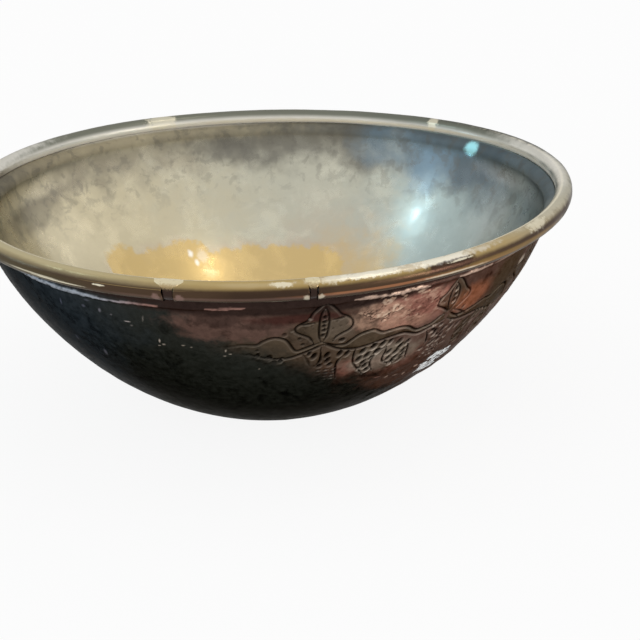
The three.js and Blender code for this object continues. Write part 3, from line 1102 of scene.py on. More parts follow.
def strip_section():
    """Angles round the oval and depths of the strip's corners, outer face first."""
    outer = np.linspace(OUTER_EDGE, INNER_EDGE, STRIP_AROUND)
    inner = np.linspace(INNER_EDGE, OUTER_EDGE, STRIP_INSIDE)
    depth = np.concatenate((np.zeros(STRIP_AROUND), np.ones(STRIP_INSIDE)))
    return np.concatenate((outer, inner)), depth


def joint_half(sizes, joint, oval_angles):
    """Half of the turn that a joint's gap takes at places round the oval."""
    high = (1 + np.sin(oval_angles)) / 2
    return (joint.gap_low + (joint.gap_top - joint.gap_low) * high) / 2 * MM / sizes.rim_reach


def sweep(sizes, start, end, steps, swell):
    """Points, faces and marks of a strip swept along the rim. start and end give the turn for each
    corner of the section. swell gives a height over the plain strip from (turn, oval angle)."""
    oval_angles, depth = strip_section()
    count = len(oval_angles)
    places, around = [], []
    for step in range(steps + 1):
        turn = start + (end - start) * step / steps
        height = np.where(depth == 0, swell(turn, oval_angles), 0)
        point = oval_point(sizes, oval_angles, depth * sizes.strip - height)
        places.append(around_axis(point[:, 0], point[:, 1], turn))
        around.append(np.degrees(oval_angles))
    starts = [step * count for step in range(steps + 1)]
    faces = band_faces(starts, count)
    faces.append(list(range(count)))
    faces.append(list(range(starts[-1], starts[-1] + count))[::-1])
    return np.vstack(places), faces, {"around": np.concatenate(around)}


UNROLLED_RIM = 115 * MM  # radius that the strip's noise is laid out on
UNROLLED_OVAL = 3.3 * MM


def rim_places(turn, oval_angles):
    """Places along the unrolled strip, for noise."""
    return around_axis(UNROLLED_RIM, UNROLLED_OVAL * oval_angles, turn)


# Bruised stretches of the edging: degrees, place on the oval in degrees, half sizes of both, depth in mm
BRUISED = [
    (-60.5, 40, 5.2, 45, 0.10), (-109, 70, 3.2, 45, 0.06), (-74, 75, 4.5, 40, 0.07),
    (-34.5, 45, 3.5, 40, 0.08), (114, 140, 4, 60, 0.06), (-127, -20, 6, 12, 0.06),
]


def rim_marks(turn, oval_angles):
    """Waves and bruises of the strip's outer face."""
    places = rim_places(turn, oval_angles)
    height = layers(places, (0.09 * MM, 13 * MM, 31), (0.02 * MM, 2.2 * MM, 32))
    degrees, level = np.degrees(turn), np.degrees(oval_angles)
    for *spot, depth in BRUISED:
        here = soft_step(from_spot(degrees, level, spot), 1.4, 0.3)
        height += here * depth * MM * (cloud(places * (0.5, 0.5, 1), 1.1 * MM, 33) - 0.4)
    return height


EDGING_STEP = math.radians(0.25)
END_BULGE = 0.3 * MM  # how far the strip's ends bulge below the solder
END_BULGE_REACH = 1.1 * MM
END_BULGE_LEVEL = (20, -5)  # places on the oval, in degrees, between which it sets in


def build_edging(scene, material, name, node, first, last):
    """One length of the strip, from one joint round to another."""
    sizes = scene.bowl_sizes
    oval_angles, _ = strip_section()
    start = math.radians(first.place)
    end = math.radians(last.place)
    if end < start:
        end += TURN
    steps = round((end - start) / EDGING_STEP)
    start = start + joint_half(sizes, first, oval_angles)
    end = end - joint_half(sizes, last, oval_angles)

    def swell(turn, angles):
        nearness = np.exp(-np.minimum(turn - start, end - turn) * sizes.rim_reach / END_BULGE_REACH)
        low = soft_step(np.degrees(angles), *END_BULGE_LEVEL)
        return rim_marks(turn, angles) + END_BULGE * nearness * low

    places, faces, marks = sweep(sizes, start, end, steps, swell)
    return make_piece(name, places, faces, material, [node], marks)


SOLDER_HEIGHT = 0.17 * MM  # in the middle, over its edge
SOLDER_EDGE = -0.05 * MM  # and its edge over the strip
SOLDER_GAP = 0.4 * MM  # how far it is sunk where the joint is open
SOLDER_LUMPS = ((0.07 * MM, 1.7 * MM, 41), (0.03 * MM, 0.7 * MM, 43))
SOLDER_RAGGED = 0.16  # how much its width varies
SOLDER_STEPS = 24
GAP_OPENS = (SOLDER_END + 0.15, SOLDER_END - 0.2)  # places on the oval, going down


def build_solder(scene, material, name, node, joint):
    """The solder over a joint: a wide drop on the top that narrows downwards, and the dark gap below."""
    sizes = scene.bowl_sizes
    oval_angles, _ = strip_section()
    place = math.radians(joint.place)
    high = soft_step(np.sin(oval_angles), math.sin(SOLDER_END), 1.02)
    spread = (joint.solder_low + (joint.solder_top - joint.solder_low) * high) * MM / sizes.rim_reach
    spread = spread * (1 + SOLDER_RAGGED * cloud(rim_places(place, oval_angles), 1.3 * MM, 42))

    def blob(turn, angles):
        share_out = np.clip(np.abs(turn - place) / spread, 0, 1)
        lumps = layers(rim_places(turn, angles), *SOLDER_LUMPS)
        open_gap = soft_step(angles, *GAP_OPENS)
        return SOLDER_HEIGHT * (1 - share_out**4) + SOLDER_EDGE + lumps - SOLDER_GAP * open_gap

    places, faces, marks = sweep(sizes, place - spread, place + spread, SOLDER_STEPS, blob)
    return make_piece(name, places, faces, material, [node], marks)


WIRE_STEPS = 240
WIRE_SIDES = 16


def build_wire(scene):
    """The wire inside the edging, a closed ring."""
    half = (WIRE_HIGH.z - WIRE_LOW.z) / 2
    sides = np.linspace(0, TURN, WIRE_SIDES, endpoint=False)
    reach = node_reach("rim_wire") - half + half * np.cos(sides)
    height = (WIRE_HIGH.z + WIRE_LOW.z) / 2 + half * np.sin(sides)
    turns = np.linspace(0, TURN, WIRE_STEPS, endpoint=False)
    places = np.vstack([around_axis(reach, height, turn) for turn in turns])
    starts = [WIRE_SIDES * step for step in range(WIRE_STEPS)]
    faces = band_faces([*starts, 0], WIRE_SIDES)
    material = iron_material(scene.bowl_finish)
    return make_piece("edging_wire", places, faces, material, ["rim_wire"])


# Materials


class Nodes:
    """A node tree with short ways to add nodes and join them."""

    def __init__(self, tree):
        self.tree = tree

    def put(self, socket, value):
        if isinstance(value, bpy.types.NodeSocket):
            self.tree.links.new(value, socket)
        elif hasattr(socket.default_value, "__len__") and len(socket.default_value) == 4:
            socket.default_value = (*value[:3], 1)
        else:
            socket.default_value = value

    def add(self, kind, inputs=None, **settings):
        made = self.tree.nodes.new(kind)
        for name, value in settings.items():
            setattr(made, name, value)
        for socket, value in (inputs or {}).items():
            self.put(made.inputs[socket], value)
        return made

    def math(self, operation, *values):
        inputs = dict(enumerate(values))
        return self.add("ShaderNodeMath", inputs, operation=operation).outputs[0]

    def times(self, first, second):
        return self.math("MULTIPLY", first, second)

    def blend(self, factor, low, high):
        """Two colours mixed by a mask."""
        made = self.add("ShaderNodeMix", {0: factor, 6: low, 7: high}, data_type="RGBA")
        return made.outputs[2]

    def over(self, base, tint, mask, strength):
        """A colour laid over a base where a mask lets it."""
        return self.blend(self.times(mask, strength), base, tint)

    def valued(self, tint, value):
        """A colour made lighter or darker."""
        return self.add("ShaderNodeHueSaturation", {"Color": tint, "Value": value}).outputs[0]

    def between(self, value, low, high, out_low=0.0, out_high=1.0):
        """A value's range mapped to another one, with soft ends."""
        inputs = {0: value, 1: low, 2: high, 3: out_low, 4: out_high}
        made = self.add("ShaderNodeMapRange", inputs, interpolation_type="SMOOTHSTEP")
        return made.outputs[0]

    def place(self):
        return self.add("ShaderNodeTexCoord").outputs["Object"]

    def parts(self, vector):
        return self.add("ShaderNodeSeparateXYZ", {0: vector}).outputs

    def mark(self, name):
        return self.add("ShaderNodeAttribute", attribute_name=name).outputs["Fac"]

    def noise(self, vector, scale, detail=3.0, rough=0.5, warp=0.0):
        inputs = {"Vector": vector, "Scale": scale, "Detail": detail, "Roughness": rough}
        inputs["Distortion"] = warp
        return self.add("ShaderNodeTexNoise", inputs).outputs[0]

    def bump(self, shader, height, strength, distance):
        """Joins a bump to a shader."""
        inputs = {"Strength": strength, "Distance": distance, "Height": height}
        self.put(shader.inputs["Normal"], self.add("ShaderNodeBump", inputs).outputs[0])

    def group(self, name, inputs=None):
        """Places a shared effect and gives its outputs."""
        made = self.add("ShaderNodeGroup", node_tree=bpy.data.node_groups[name])
        for socket, value in (inputs or {}).items():
            self.put(made.inputs[socket], value)
        return made.outputs

    def mottle(self, scale, cover, softness):
        return self.group("Mottle", {"Scale": scale, "Cover": cover, "Softness": softness})


def new_group(name, inputs, outputs):
    """An empty node group with named sockets. Gives its nodes, what goes in and what comes out."""
    group = bpy.data.node_groups.new(name, "ShaderNodeTree")
    for label, default in inputs.items():
        kind = "NodeSocketVector" if isinstance(default, tuple) else "NodeSocketFloat"
        socket = group.interface.new_socket(label, in_out="INPUT", socket_type=kind)
        socket.default_value = default
    for label in outputs:
        group.interface.new_socket(label, in_out="OUTPUT", socket_type="NodeSocketFloat")
    nodes = Nodes(group)
    return nodes, nodes.add("NodeGroupInput").outputs, nodes.add("NodeGroupOutput").inputs


def ragged_mask(nodes, given, place, distance, fineness):
    """A mask inside a distance of 1, whose edge is ragged with noise."""
    rough = nodes.noise(place, given["Lumps"], 5.0, fineness)
    rough = nodes.times(nodes.math("SUBTRACT", rough, 0.5), given["Ragged"])
    distance = nodes.math("ADD", distance, nodes.times(rough, 4.0))
    outer = nodes.math("ADD", 1.0, given["Softness"])
    inner = nodes.math("SUBTRACT", 1.0, given["Softness"])
    return nodes.between(distance, outer, inner)


def make_patch_group():
    """A ragged patch, placed by its angle round the bowl and by a level such as the distance down the
    wall. More corners make it squarer."""
    inputs = {
        "Level": 0.0, "Middle": 0.0, "Half Level": 10.0, "Angle": 0.0, "Half Angle": 0.2,
        "Ragged": 0.3, "Lumps": 150.0, "Fineness": 0.62, "Softness": 0.3, "Corners": 2.0,
    }
    nodes, given, made = new_group("Patch", inputs, ["Mask"])
    place = nodes.place()
    parts = nodes.parts(place)
    turn = nodes.math("ARCTAN2", parts[1], parts[0])
    apart = nodes.math("WRAP", nodes.math("SUBTRACT", turn, given["Angle"]), math.pi, -math.pi)
    across = nodes.math("ABSOLUTE", nodes.math("DIVIDE", apart, given["Half Angle"]))
    up = nodes.math("SUBTRACT", given["Level"], given["Middle"])
    up = nodes.math("ABSOLUTE", nodes.math("DIVIDE", up, given["Half Level"]))
    power = given["Corners"]
    total = nodes.math("ADD", nodes.math("POWER", across, power), nodes.math("POWER", up, power))
    distance = nodes.math("POWER", total, nodes.math("DIVIDE", 1.0, power))
    nodes.put(made["Mask"], ragged_mask(nodes, given, place, distance, given["Fineness"]))


def make_spot_group():
    """A ragged round spot, placed by its centre and radius."""
    inputs = {"Centre": (0.0, 0.0, 0.0), "Radius": 0.05, "Ragged": 0.2, "Lumps": 60.0, "Softness": 0.2}
    nodes, given, made = new_group("Round Spot", inputs, ["Mask"])
    place = nodes.place()
    apart = nodes.add("ShaderNodeVectorMath", {0: place, 1: given["Centre"]}, operation="DISTANCE")
    distance = nodes.math("DIVIDE", apart.outputs["Value"], given["Radius"])
    nodes.put(made["Mask"], ragged_mask(nodes, given, place, distance, 0.6))


def make_mottle_group():
    """Cloudy blotches over broad zones, and fine grain."""
    inputs = {"Scale": 60.0, "Cover": 0.5, "Softness": 0.1}
    nodes, given, made = new_group("Mottle", inputs, ["Mask", "Grain"])
    place = nodes.place()
    broad = nodes.noise(place, given["Scale"], 6.0, 0.62, 0.4)
    edge = nodes.math("SUBTRACT", 1.0, given["Cover"])
    low = nodes.math("SUBTRACT", edge, given["Softness"])
    high = nodes.math("ADD", edge, given["Softness"])
    nodes.put(made["Mask"], nodes.between(broad, low, high))
    fine = nodes.noise(place, nodes.times(given["Scale"], 14.0), 3.0, 0.6)
    nodes.put(made["Grain"], fine)


def make_scratch_group():
    """Fine scratches round the bowl, as a mask."""
    inputs = {"Stretch": 9.0, "Scale": 260.0, "Cover": 0.35}
    nodes, given, made = new_group("Scratches", inputs, ["Mask"])
    place = nodes.place()
    parts = nodes.parts(place)
    turn = nodes.math("ARCTAN2", parts[1], parts[0])
    squeeze = nodes.math("DIVIDE", 0.1, given["Stretch"])
    ring_x = nodes.times(nodes.math("COSINE", turn), squeeze)
    ring_y = nodes.times(nodes.math("SINE", turn), squeeze)
    reach = nodes.add("ShaderNodeVectorMath", {0: place}, operation="LENGTH").outputs["Value"]
    level = nodes.math("ADD", reach, parts[2])
    joined = nodes.add("ShaderNodeCombineXYZ", {0: ring_x, 1: ring_y, 2: level})
    lines = nodes.noise(joined.outputs[0], given["Scale"], 4.0, 0.75)
    edge = nodes.math("SUBTRACT", 1.0, given["Cover"])
    high = nodes.math("ADD", edge, 0.12)
    nodes.put(made["Mask"], nodes.between(lines, edge, high))


def new_material(name):
    """A material with one Principled shader, and its nodes."""
    material = bpy.data.materials.new(name)
    material.use_nodes = True
    nodes = Nodes(material.node_tree)
    shader = material.node_tree.nodes["Principled BSDF"]
    return material, nodes, shader


class Patch(NamedTuple):
    """A patch of colour: where it is, half its size, a colour of BowlFinish and how it looks. Its level
    is mm down the wall, or degrees round the edging's oval."""

    degrees: float
    level: float
    half_degrees: float
    half_level: float
    tint: str
    strength: float = 0.9
    ragged: float = 0.3
    soft: float = 0.3
    lumps: float = 150.0
    corners: float = 2.0


def patch_mask(nodes, level, patch, fineness=0.62):
    inputs = {
        "Level": level,
        "Middle": patch.level,
        "Half Level": patch.half_level,
        "Angle": math.radians(patch.degrees),
        "Half Angle": math.radians(patch.half_degrees),
        "Ragged": patch.ragged,
        "Lumps": patch.lumps,
        "Fineness": fineness,
        "Softness": patch.soft,
        "Corners": patch.corners,
    }
    return nodes.group("Patch", inputs)["Mask"]


def place_patches(nodes, finish, level, base, patches, fineness=0.62):
    """Mixes each patch of colour over the base."""
    for patch in patches:
        mask = patch_mask(nodes, level, patch, fineness)
        tint = getattr(finish, patch.tint)
        base = nodes.over(base, tint, mask, patch.strength)
    return base


# The near left is painted darker and the near right lighter: partly crust and bare copper, partly painted
# shade and painted light.
COPPER_GROUND = [
    Patch(-40, 30, 55, 60, "copper_brown", 0.85, 0.25, 0.35),
    Patch(-84, 20, 17, 17, "olive", 0.75, 0.3, 0.4),
    Patch(-20, 25, 20, 30, "copper_grey", 0.85, 0.25, 0.5),
    Patch(-62, 11, 10, 9, "copper_pink", 0.9, 0.4, 0.3),
    Patch(-52, 30, 14, 14, "copper_grey", 0.55, 0.35, 0.4),
    Patch(-73.5, 38, 3.2, 6, "copper_pink", 0.5, 0.4, 0.3),
    Patch(-62, 40, 9, 8, "copper_pink", 0.35, 0.45, 0.3),
    Patch(140, 30, 60, 40, "crust_black", 0.6, 0.3, 0.5),
    Patch(70, 20, 34, 18, "copper_brown", 0.7, 0.4, 0.4),
    Patch(30, 40, 20, 22, "copper_pink", 0.4, 0.45, 0.3),
    Patch(170, 18, 16, 12, "copper_brown", 0.7, 0.45, 0.3),
]
COPPER_OVER = [
    # Bare and pale copper on the near right, partly painted light.
    Patch(-46.5, 14.5, 5.0, 6.0, "copper_orange", 0.62, 0.3, 0.5, 200),
    Patch(-35, 14, 5.5, 14, "olive", 0.8, 0.35, 0.4),
    Patch(-69.5, 11, 5.5, 6, "copper_pale", 0.6, 0.4, 0.3, 260),
    Patch(-64, 17, 6, 3, "copper_pale", 0.4, 0.4, 0.4, 260),
    Patch(-66, 35, 8.5, 8.5, "olive_pale", 0.7, 0.35, 0.35, 200),
    Patch(-77.5, 13.5, 3, 6, "olive_pale", 0.15, 0.35, 0.4, 200),
    # Nearly black crust over the near left and the bottom, partly painted shade.
    Patch(-98, 92, 52, 50, "crust_black", 0.97, 0.2, 0.22, 110, 3),
    Patch(-141, 32, 42, 70, "crust_black", 0.96, 0.14, 0.16, 110, 3),
    Patch(-152, 22, 30, 46, "crust_blue", 0.9, 0.2, 0.5, 110, 3),
    Patch(-109, 60, 20, 34, "crust_black", 0.93, 0.22, 0.3, 130, 3),
    Patch(-98, 42, 10, 21, "crust_black", 0.93, 0.2, 0.3, 150, 3),
    Patch(-90, 46, 9, 17, "crust_black", 0.93, 0.2, 0.3, 150, 3),
    Patch(-83, 51, 8, 13, "crust_black", 0.9, 0.2, 0.3, 150, 3),
    Patch(-54, 54, 11, 9, "copper_brown", 0.85, 0.4, 0.4),
    # Small painted glints low on the near right.
    Patch(-57, 53.5, 0.8, 0.6, "streak_pale", 0.6, 0.5, 0.4, 700),
    Patch(-53.5, 55, 0.5, 1.0, "streak_pale", 0.6, 0.5, 0.4, 700),
    Patch(-60.5, 52, 0.5, 1.2, "streak_pale", 0.5, 0.5, 0.4, 700),
    Patch(-64, 49.5, 1.1, 0.5, "streak_pink", 0.7, 0.5, 0.4, 700),
    Patch(-51, 51, 0.6, 0.9, "streak_pale", 0.6, 0.5, 0.4, 700),
    Patch(-98, 9.5, 12, 7.5, "copper_brown", 0.9, 0.42, 0.3),
    Patch(-100, 7, 5, 3.0, "crust_umber", 0.55, 0.5, 0.3, 250),
    Patch(-92, 10, 4, 2.0, "crust_umber", 0.45, 0.5, 0.3, 250),
    Patch(-85, 7.6, 9, 2.2, "dark_red", 0.9, 0.35, 0.4),
    # A dark band just under the edging, partly crust and partly painted shade.
    Patch(-86, 2.4, 30, 3.4, "crust_umber", 0.95, 0.25, 0.3),
    Patch(-52, -2, 200, 3.4, "crust_umber", 0.95, 0.08, 0.3),
]
# A painted sparkle low on the near right: a bright patch that stands in for highlights.
SPARKLE = Patch(-43.6, 52.8, 4.8, 7.0, "rubbed_bright", 1.0, 0.35, 0.12, 400, 3)


# Places along X between which the painted glints on raised metal and the painted border highlights change
# colour
SHINE_COLD = (-30 * MM, -70 * MM)
STREAK_PALE = (0.0, 35 * MM)
STREAK_COLD = (-38 * MM, -62 * MM)
COPPER_SHEEN = (0.33, 0.32, 0.31, 1)  # tint of the reflections seen at a flat angle


def copper_material(finish):
    """Copper with its crusts, its bare patches and its dirt, and painted glints, highlights and shade."""
    material, nodes, shader = new_material("dark copper")
    down = nodes.mark("down")
    broad = nodes.mottle(scale=28.0, cover=0.45, softness=0.12)
    small = nodes.mottle(scale=150.0, cover=0.4, softness=0.08)
    tint = nodes.blend(broad["Mask"], finish.crust_black, finish.crust_brown)
    bare = nodes.times(nodes.times(broad["Mask"], small["Mask"]), 0.5)
    tint = nodes.blend(bare, tint, finish.copper_brown)
    tint = place_patches(nodes, finish, down, tint, COPPER_GROUND)
    tint = nodes.over(tint, finish.olive, nodes.mark("leaf"), 0.7)
    tint = place_patches(nodes, finish, down, tint, COPPER_OVER)
    speckled = nodes.times(small["Mask"], 0.4)
    grain = nodes.noise(nodes.place(), 420.0, 5.0, 0.7)
    value = nodes.math("SUBTRACT", nodes.between(grain, 0.3, 0.7, 0.88, 1.25), speckled)
    tint = nodes.valued(tint, value)
    pale = nodes.blend(nodes.between(grain, 0.42, 0.6), finish.copper_pale, finish.crust_pale)
    tint = nodes.over(tint, pale, nodes.mark("flaked"), 0.8)
    # The painted sparkle, made less metallic below so it shows white.
    sparkle = nodes.times(patch_mask(nodes, down, SPARKLE), nodes.between(grain, 0.43, 0.5))
    tint = nodes.over(tint, finish.rubbed_bright, sparkle, SPARKLE.strength)
    tint = nodes.over(tint, finish.groove, nodes.mark("groove"), 0.93)
    across = nodes.parts(nodes.place())[0]
    # Colours of the painted glints and of the painted border highlights, cold to the left and pale to the
    # right.
    shine = nodes.blend(nodes.between(across, *SHINE_COLD), finish.rubbed, finish.cold_wear_and_glint)
    streak = nodes.blend(nodes.between(across, *STREAK_PALE), finish.streak_pink, finish.streak_pale)
    streak = nodes.blend(nodes.between(across, *STREAK_COLD), streak, finish.highlight_cold)
    tint = nodes.over(tint, streak, nodes.mark("streak"), 0.9)
    # Rubbed crests and painted glints.
    rubbed = nodes.math("MINIMUM", nodes.mark("rubbed"), 1.0)
    tint = nodes.over(tint, shine, rubbed, 0.85)
    nodes.put(shader.inputs["Base Color"], tint)
    nodes.put(shader.inputs["Metallic"], nodes.between(sparkle, 0.0, 1.0, 1.0, 0.2))
    shader.inputs["Specular Tint"].default_value = COPPER_SHEEN
    rough = nodes.between(grain, 0.3, 0.7, 0.32, 0.46)
    rough = nodes.math("SUBTRACT", rough, nodes.times(rubbed, 0.12))
    nodes.put(shader.inputs["Roughness"], rough)
    height = nodes.math("ADD", nodes.times(grain, 0.5), small["Grain"])
    nodes.bump(shader, height, strength=0.3, distance=0.2 * MM)
    return material


# Warm tones to the left and cool ones to the right are partly painted reflections of warm and cool light;
# the bright patch to the right is painted light.
SILVER_TONES = [
    Patch(155, 45, 50, 60, "silver_warm", 0.85, 0.15, 0.6),
    Patch(15, 40, 42, 60, "silver_cold", 0.9, 0.15, 0.5),
    Patch(-90, 40, 80, 50, "silver_warm", 0.5, 0.2, 0.5),
    Patch(164, 30, 22, 16, "silver_straw", 0.5, 0.3, 0.5, 90),
    Patch(10, 24, 16, 16, "silver_bright", 0.3, 0.3, 0.6, 90),
]
# Tarnish under the rim. Its brown to the left and blue to the right are partly painted reflections; the
# patches on the lip and just below it even out its shade, as painted shade and painted light.
SILVER_TARNISH = [
    Patch(135, -6, 45, 19, "tarnish_brown", 0.72, 0.42, 0.45, 80),
    Patch(152, -2, 20, 15, "tarnish_brown", 0.5, 0.42, 0.45, 80),
    Patch(172, -4, 16, 6, "tarnish", 0.55, 0.25, 0.5, 100, 3),
    Patch(158, 12, 12, 9, "tarnish_brown", 0.6, 0.45, 0.4, 130),
    Patch(84, -6, 32, 18, "tarnish", 0.82, 0.38, 0.4, 85),
    Patch(99, 6, 6, 6, "tarnish", 0.6, 0.4, 0.4, 110),
    Patch(67, 6, 6, 12, "tarnish", 0.5, 0.35, 0.35, 110),
    Patch(44, -2, 21, 18, "tarnish_blue", 0.9, 0.34, 0.42, 85),
    Patch(30, 6, 13, 18, "tarnish_blue", 0.55, 0.34, 0.42, 85),
    Patch(62, 3, 7, 9, "silver_blue", 0.4, 0.4, 0.5, 110),
    Patch(49, 12, 6, 10, "silver_blue", 0.6, 0.5, 0.6, 110),
    Patch(4, -3, 22, 5.5, "tarnish_blue", 0.85, 0.12, 0.5, 150, 3),
    Patch(120, -3.6, 32, 4.2, "silver_warm", 0.4, 0.3, 0.5, 200, 3),
    Patch(162, 5, 16, 4, "silver_straw", 0.6, 0.3, 0.6, 120, 3),
    Patch(9, 4.5, 18, 3.6, "silver_bright", 0.4, 0.1, 0.8, 120, 2),
    Patch(-90, -4, 70, 9, "tarnish_brown", 0.3, 0.4, 0.5, 85),
]
# Golden tone low in the bowl, partly a painted warm reflection.
SILVER_GOLDEN_TONE = [
    Patch(68, 108, 17, 62, "gilt_edge", 0.7, 0.15, 0.4, 170, 4),
    Patch(104, 110, 42, 61.5, "gilt_edge", 0.5, 0.05, 0.05, 170, 7),
    Patch(129, 110, 19, 66.5, "gilt_edge", 0.5, 0.05, 0.05, 170, 7),
    Patch(62, 110, 16, 58, "gilt", 0.75, 0.12, 0.3, 170, 4),
    Patch(104.5, 110, 40, 59, "gilt", 0.93, 0.05, 0.025, 170, 8),
    Patch(126, 110, 20, 64.5, "gilt", 0.93, 0.05, 0.025, 170, 6),
    Patch(138, 110, 7, 69, "gilt", 0.93, 0.04, 0.025, 170, 6),
]
GOLDEN_FLOOR_SPOT = {"Centre": (-4 * MM, -4 * MM, 4 * MM), "Radius": 62 * MM, "Ragged": 0.08, "Softness": 0.04}
# A painted cyan reflection under the rim to the right, painted highlights in the golden tone and painted
# highlight lines along the lip.
SILVER_SPOTS = [
    Patch(38.3, -0.8, 1.8, 2.2, "film", 0.95, 0.35, 0.4, 300),
    Patch(115.5, 51, 0.7, 1.5, "silver_bright", 0.8, 0.4, 0.8, 400),
    Patch(114.3, 55.5, 0.6, 1.3, "silver_bright", 0.7, 0.4, 0.8, 400),
    Patch(112, 53, 1.6, 3.0, "silver_bright", 0.3, 0.5, 0.6, 400),
    Patch(115, -4.6, 22, 1.3, "silver_bright", 0.4, 0.1, 0.6, 300, 4),
    Patch(44, -4.6, 22, 1.0, "silver_cold", 0.6, 0.1, 0.4, 300, 4),
]
TARNISH_FADES = (40.0, 8.0)  # mm down, from the last small blotches of tarnish up to the strongest
LIP_SHADE = 0.8  # how dark the skin is on the lip, next to the wall
SILVER_SHEEN = (0.6, 0.61, 0.62, 1)


def silver_material(finish):
    """Silver plating, tarnished under the rim and golden lower down, with painted reflections, highlights
    and shade.
    """
    material, nodes, shader = new_material("silver plating")
    down = nodes.mark("down")
    mottle = nodes.mottle(scale=75.0, cover=0.45, softness=0.16)
    tint = place_patches(nodes, finish, down, tuple(finish.silver), SILVER_TONES)
    tint = place_patches(nodes, finish, down, tint, SILVER_TARNISH, 0.5)
    blotches = nodes.mottle(scale=190.0, cover=0.44, softness=0.06)["Mask"]
    blotches = nodes.times(blotches, nodes.between(down, *TARNISH_FADES, 0.0, 0.35))
    tint = nodes.blend(blotches, tint, finish.tarnish)
    tint = place_patches(nodes, finish, down, tint, SILVER_GOLDEN_TONE)
    # golden tone in the bottom, partly a painted warm reflection
    gilt = nodes.group("Round Spot", GOLDEN_FLOOR_SPOT)["Mask"]
    tint = nodes.over(tint, finish.gilt, gilt, 0.93)
    value = nodes.between(mottle["Mask"], 0.0, 1.0, 0.92, 1.05)
    value = nodes.times(value, nodes.between(down, 3.0, -2.5, 1.0, LIP_SHADE))
    tint = nodes.valued(tint, value)
    # Painted highlights and the painted cyan reflection, kept out of the lip's shade.
    tint = place_patches(nodes, finish, down, tint, SILVER_SPOTS)
    nodes.put(shader.inputs["Base Color"], tint)
    shader.inputs["Metallic"].default_value = 1.0
    rough = nodes.between(mottle["Mask"], 0.0, 1.0, 0.30, 0.25)
    lip_rough = nodes.between(down, 2.0, -0.5, 0.0, 0.55)
    nodes.put(shader.inputs["Roughness"], nodes.math("MAXIMUM", rough, lip_rough))
    shader.inputs["Specular Tint"].default_value = SILVER_SHEEN
    nodes.put(shader.inputs["Coat Weight"], nodes.between(down, 2.0, 8.0, 0.0, 0.5))
    shader.inputs["Coat Roughness"].default_value = 0.11
    nodes.bump(shader, mottle["Grain"], strength=0.15, distance=0.12 * MM)
    return material


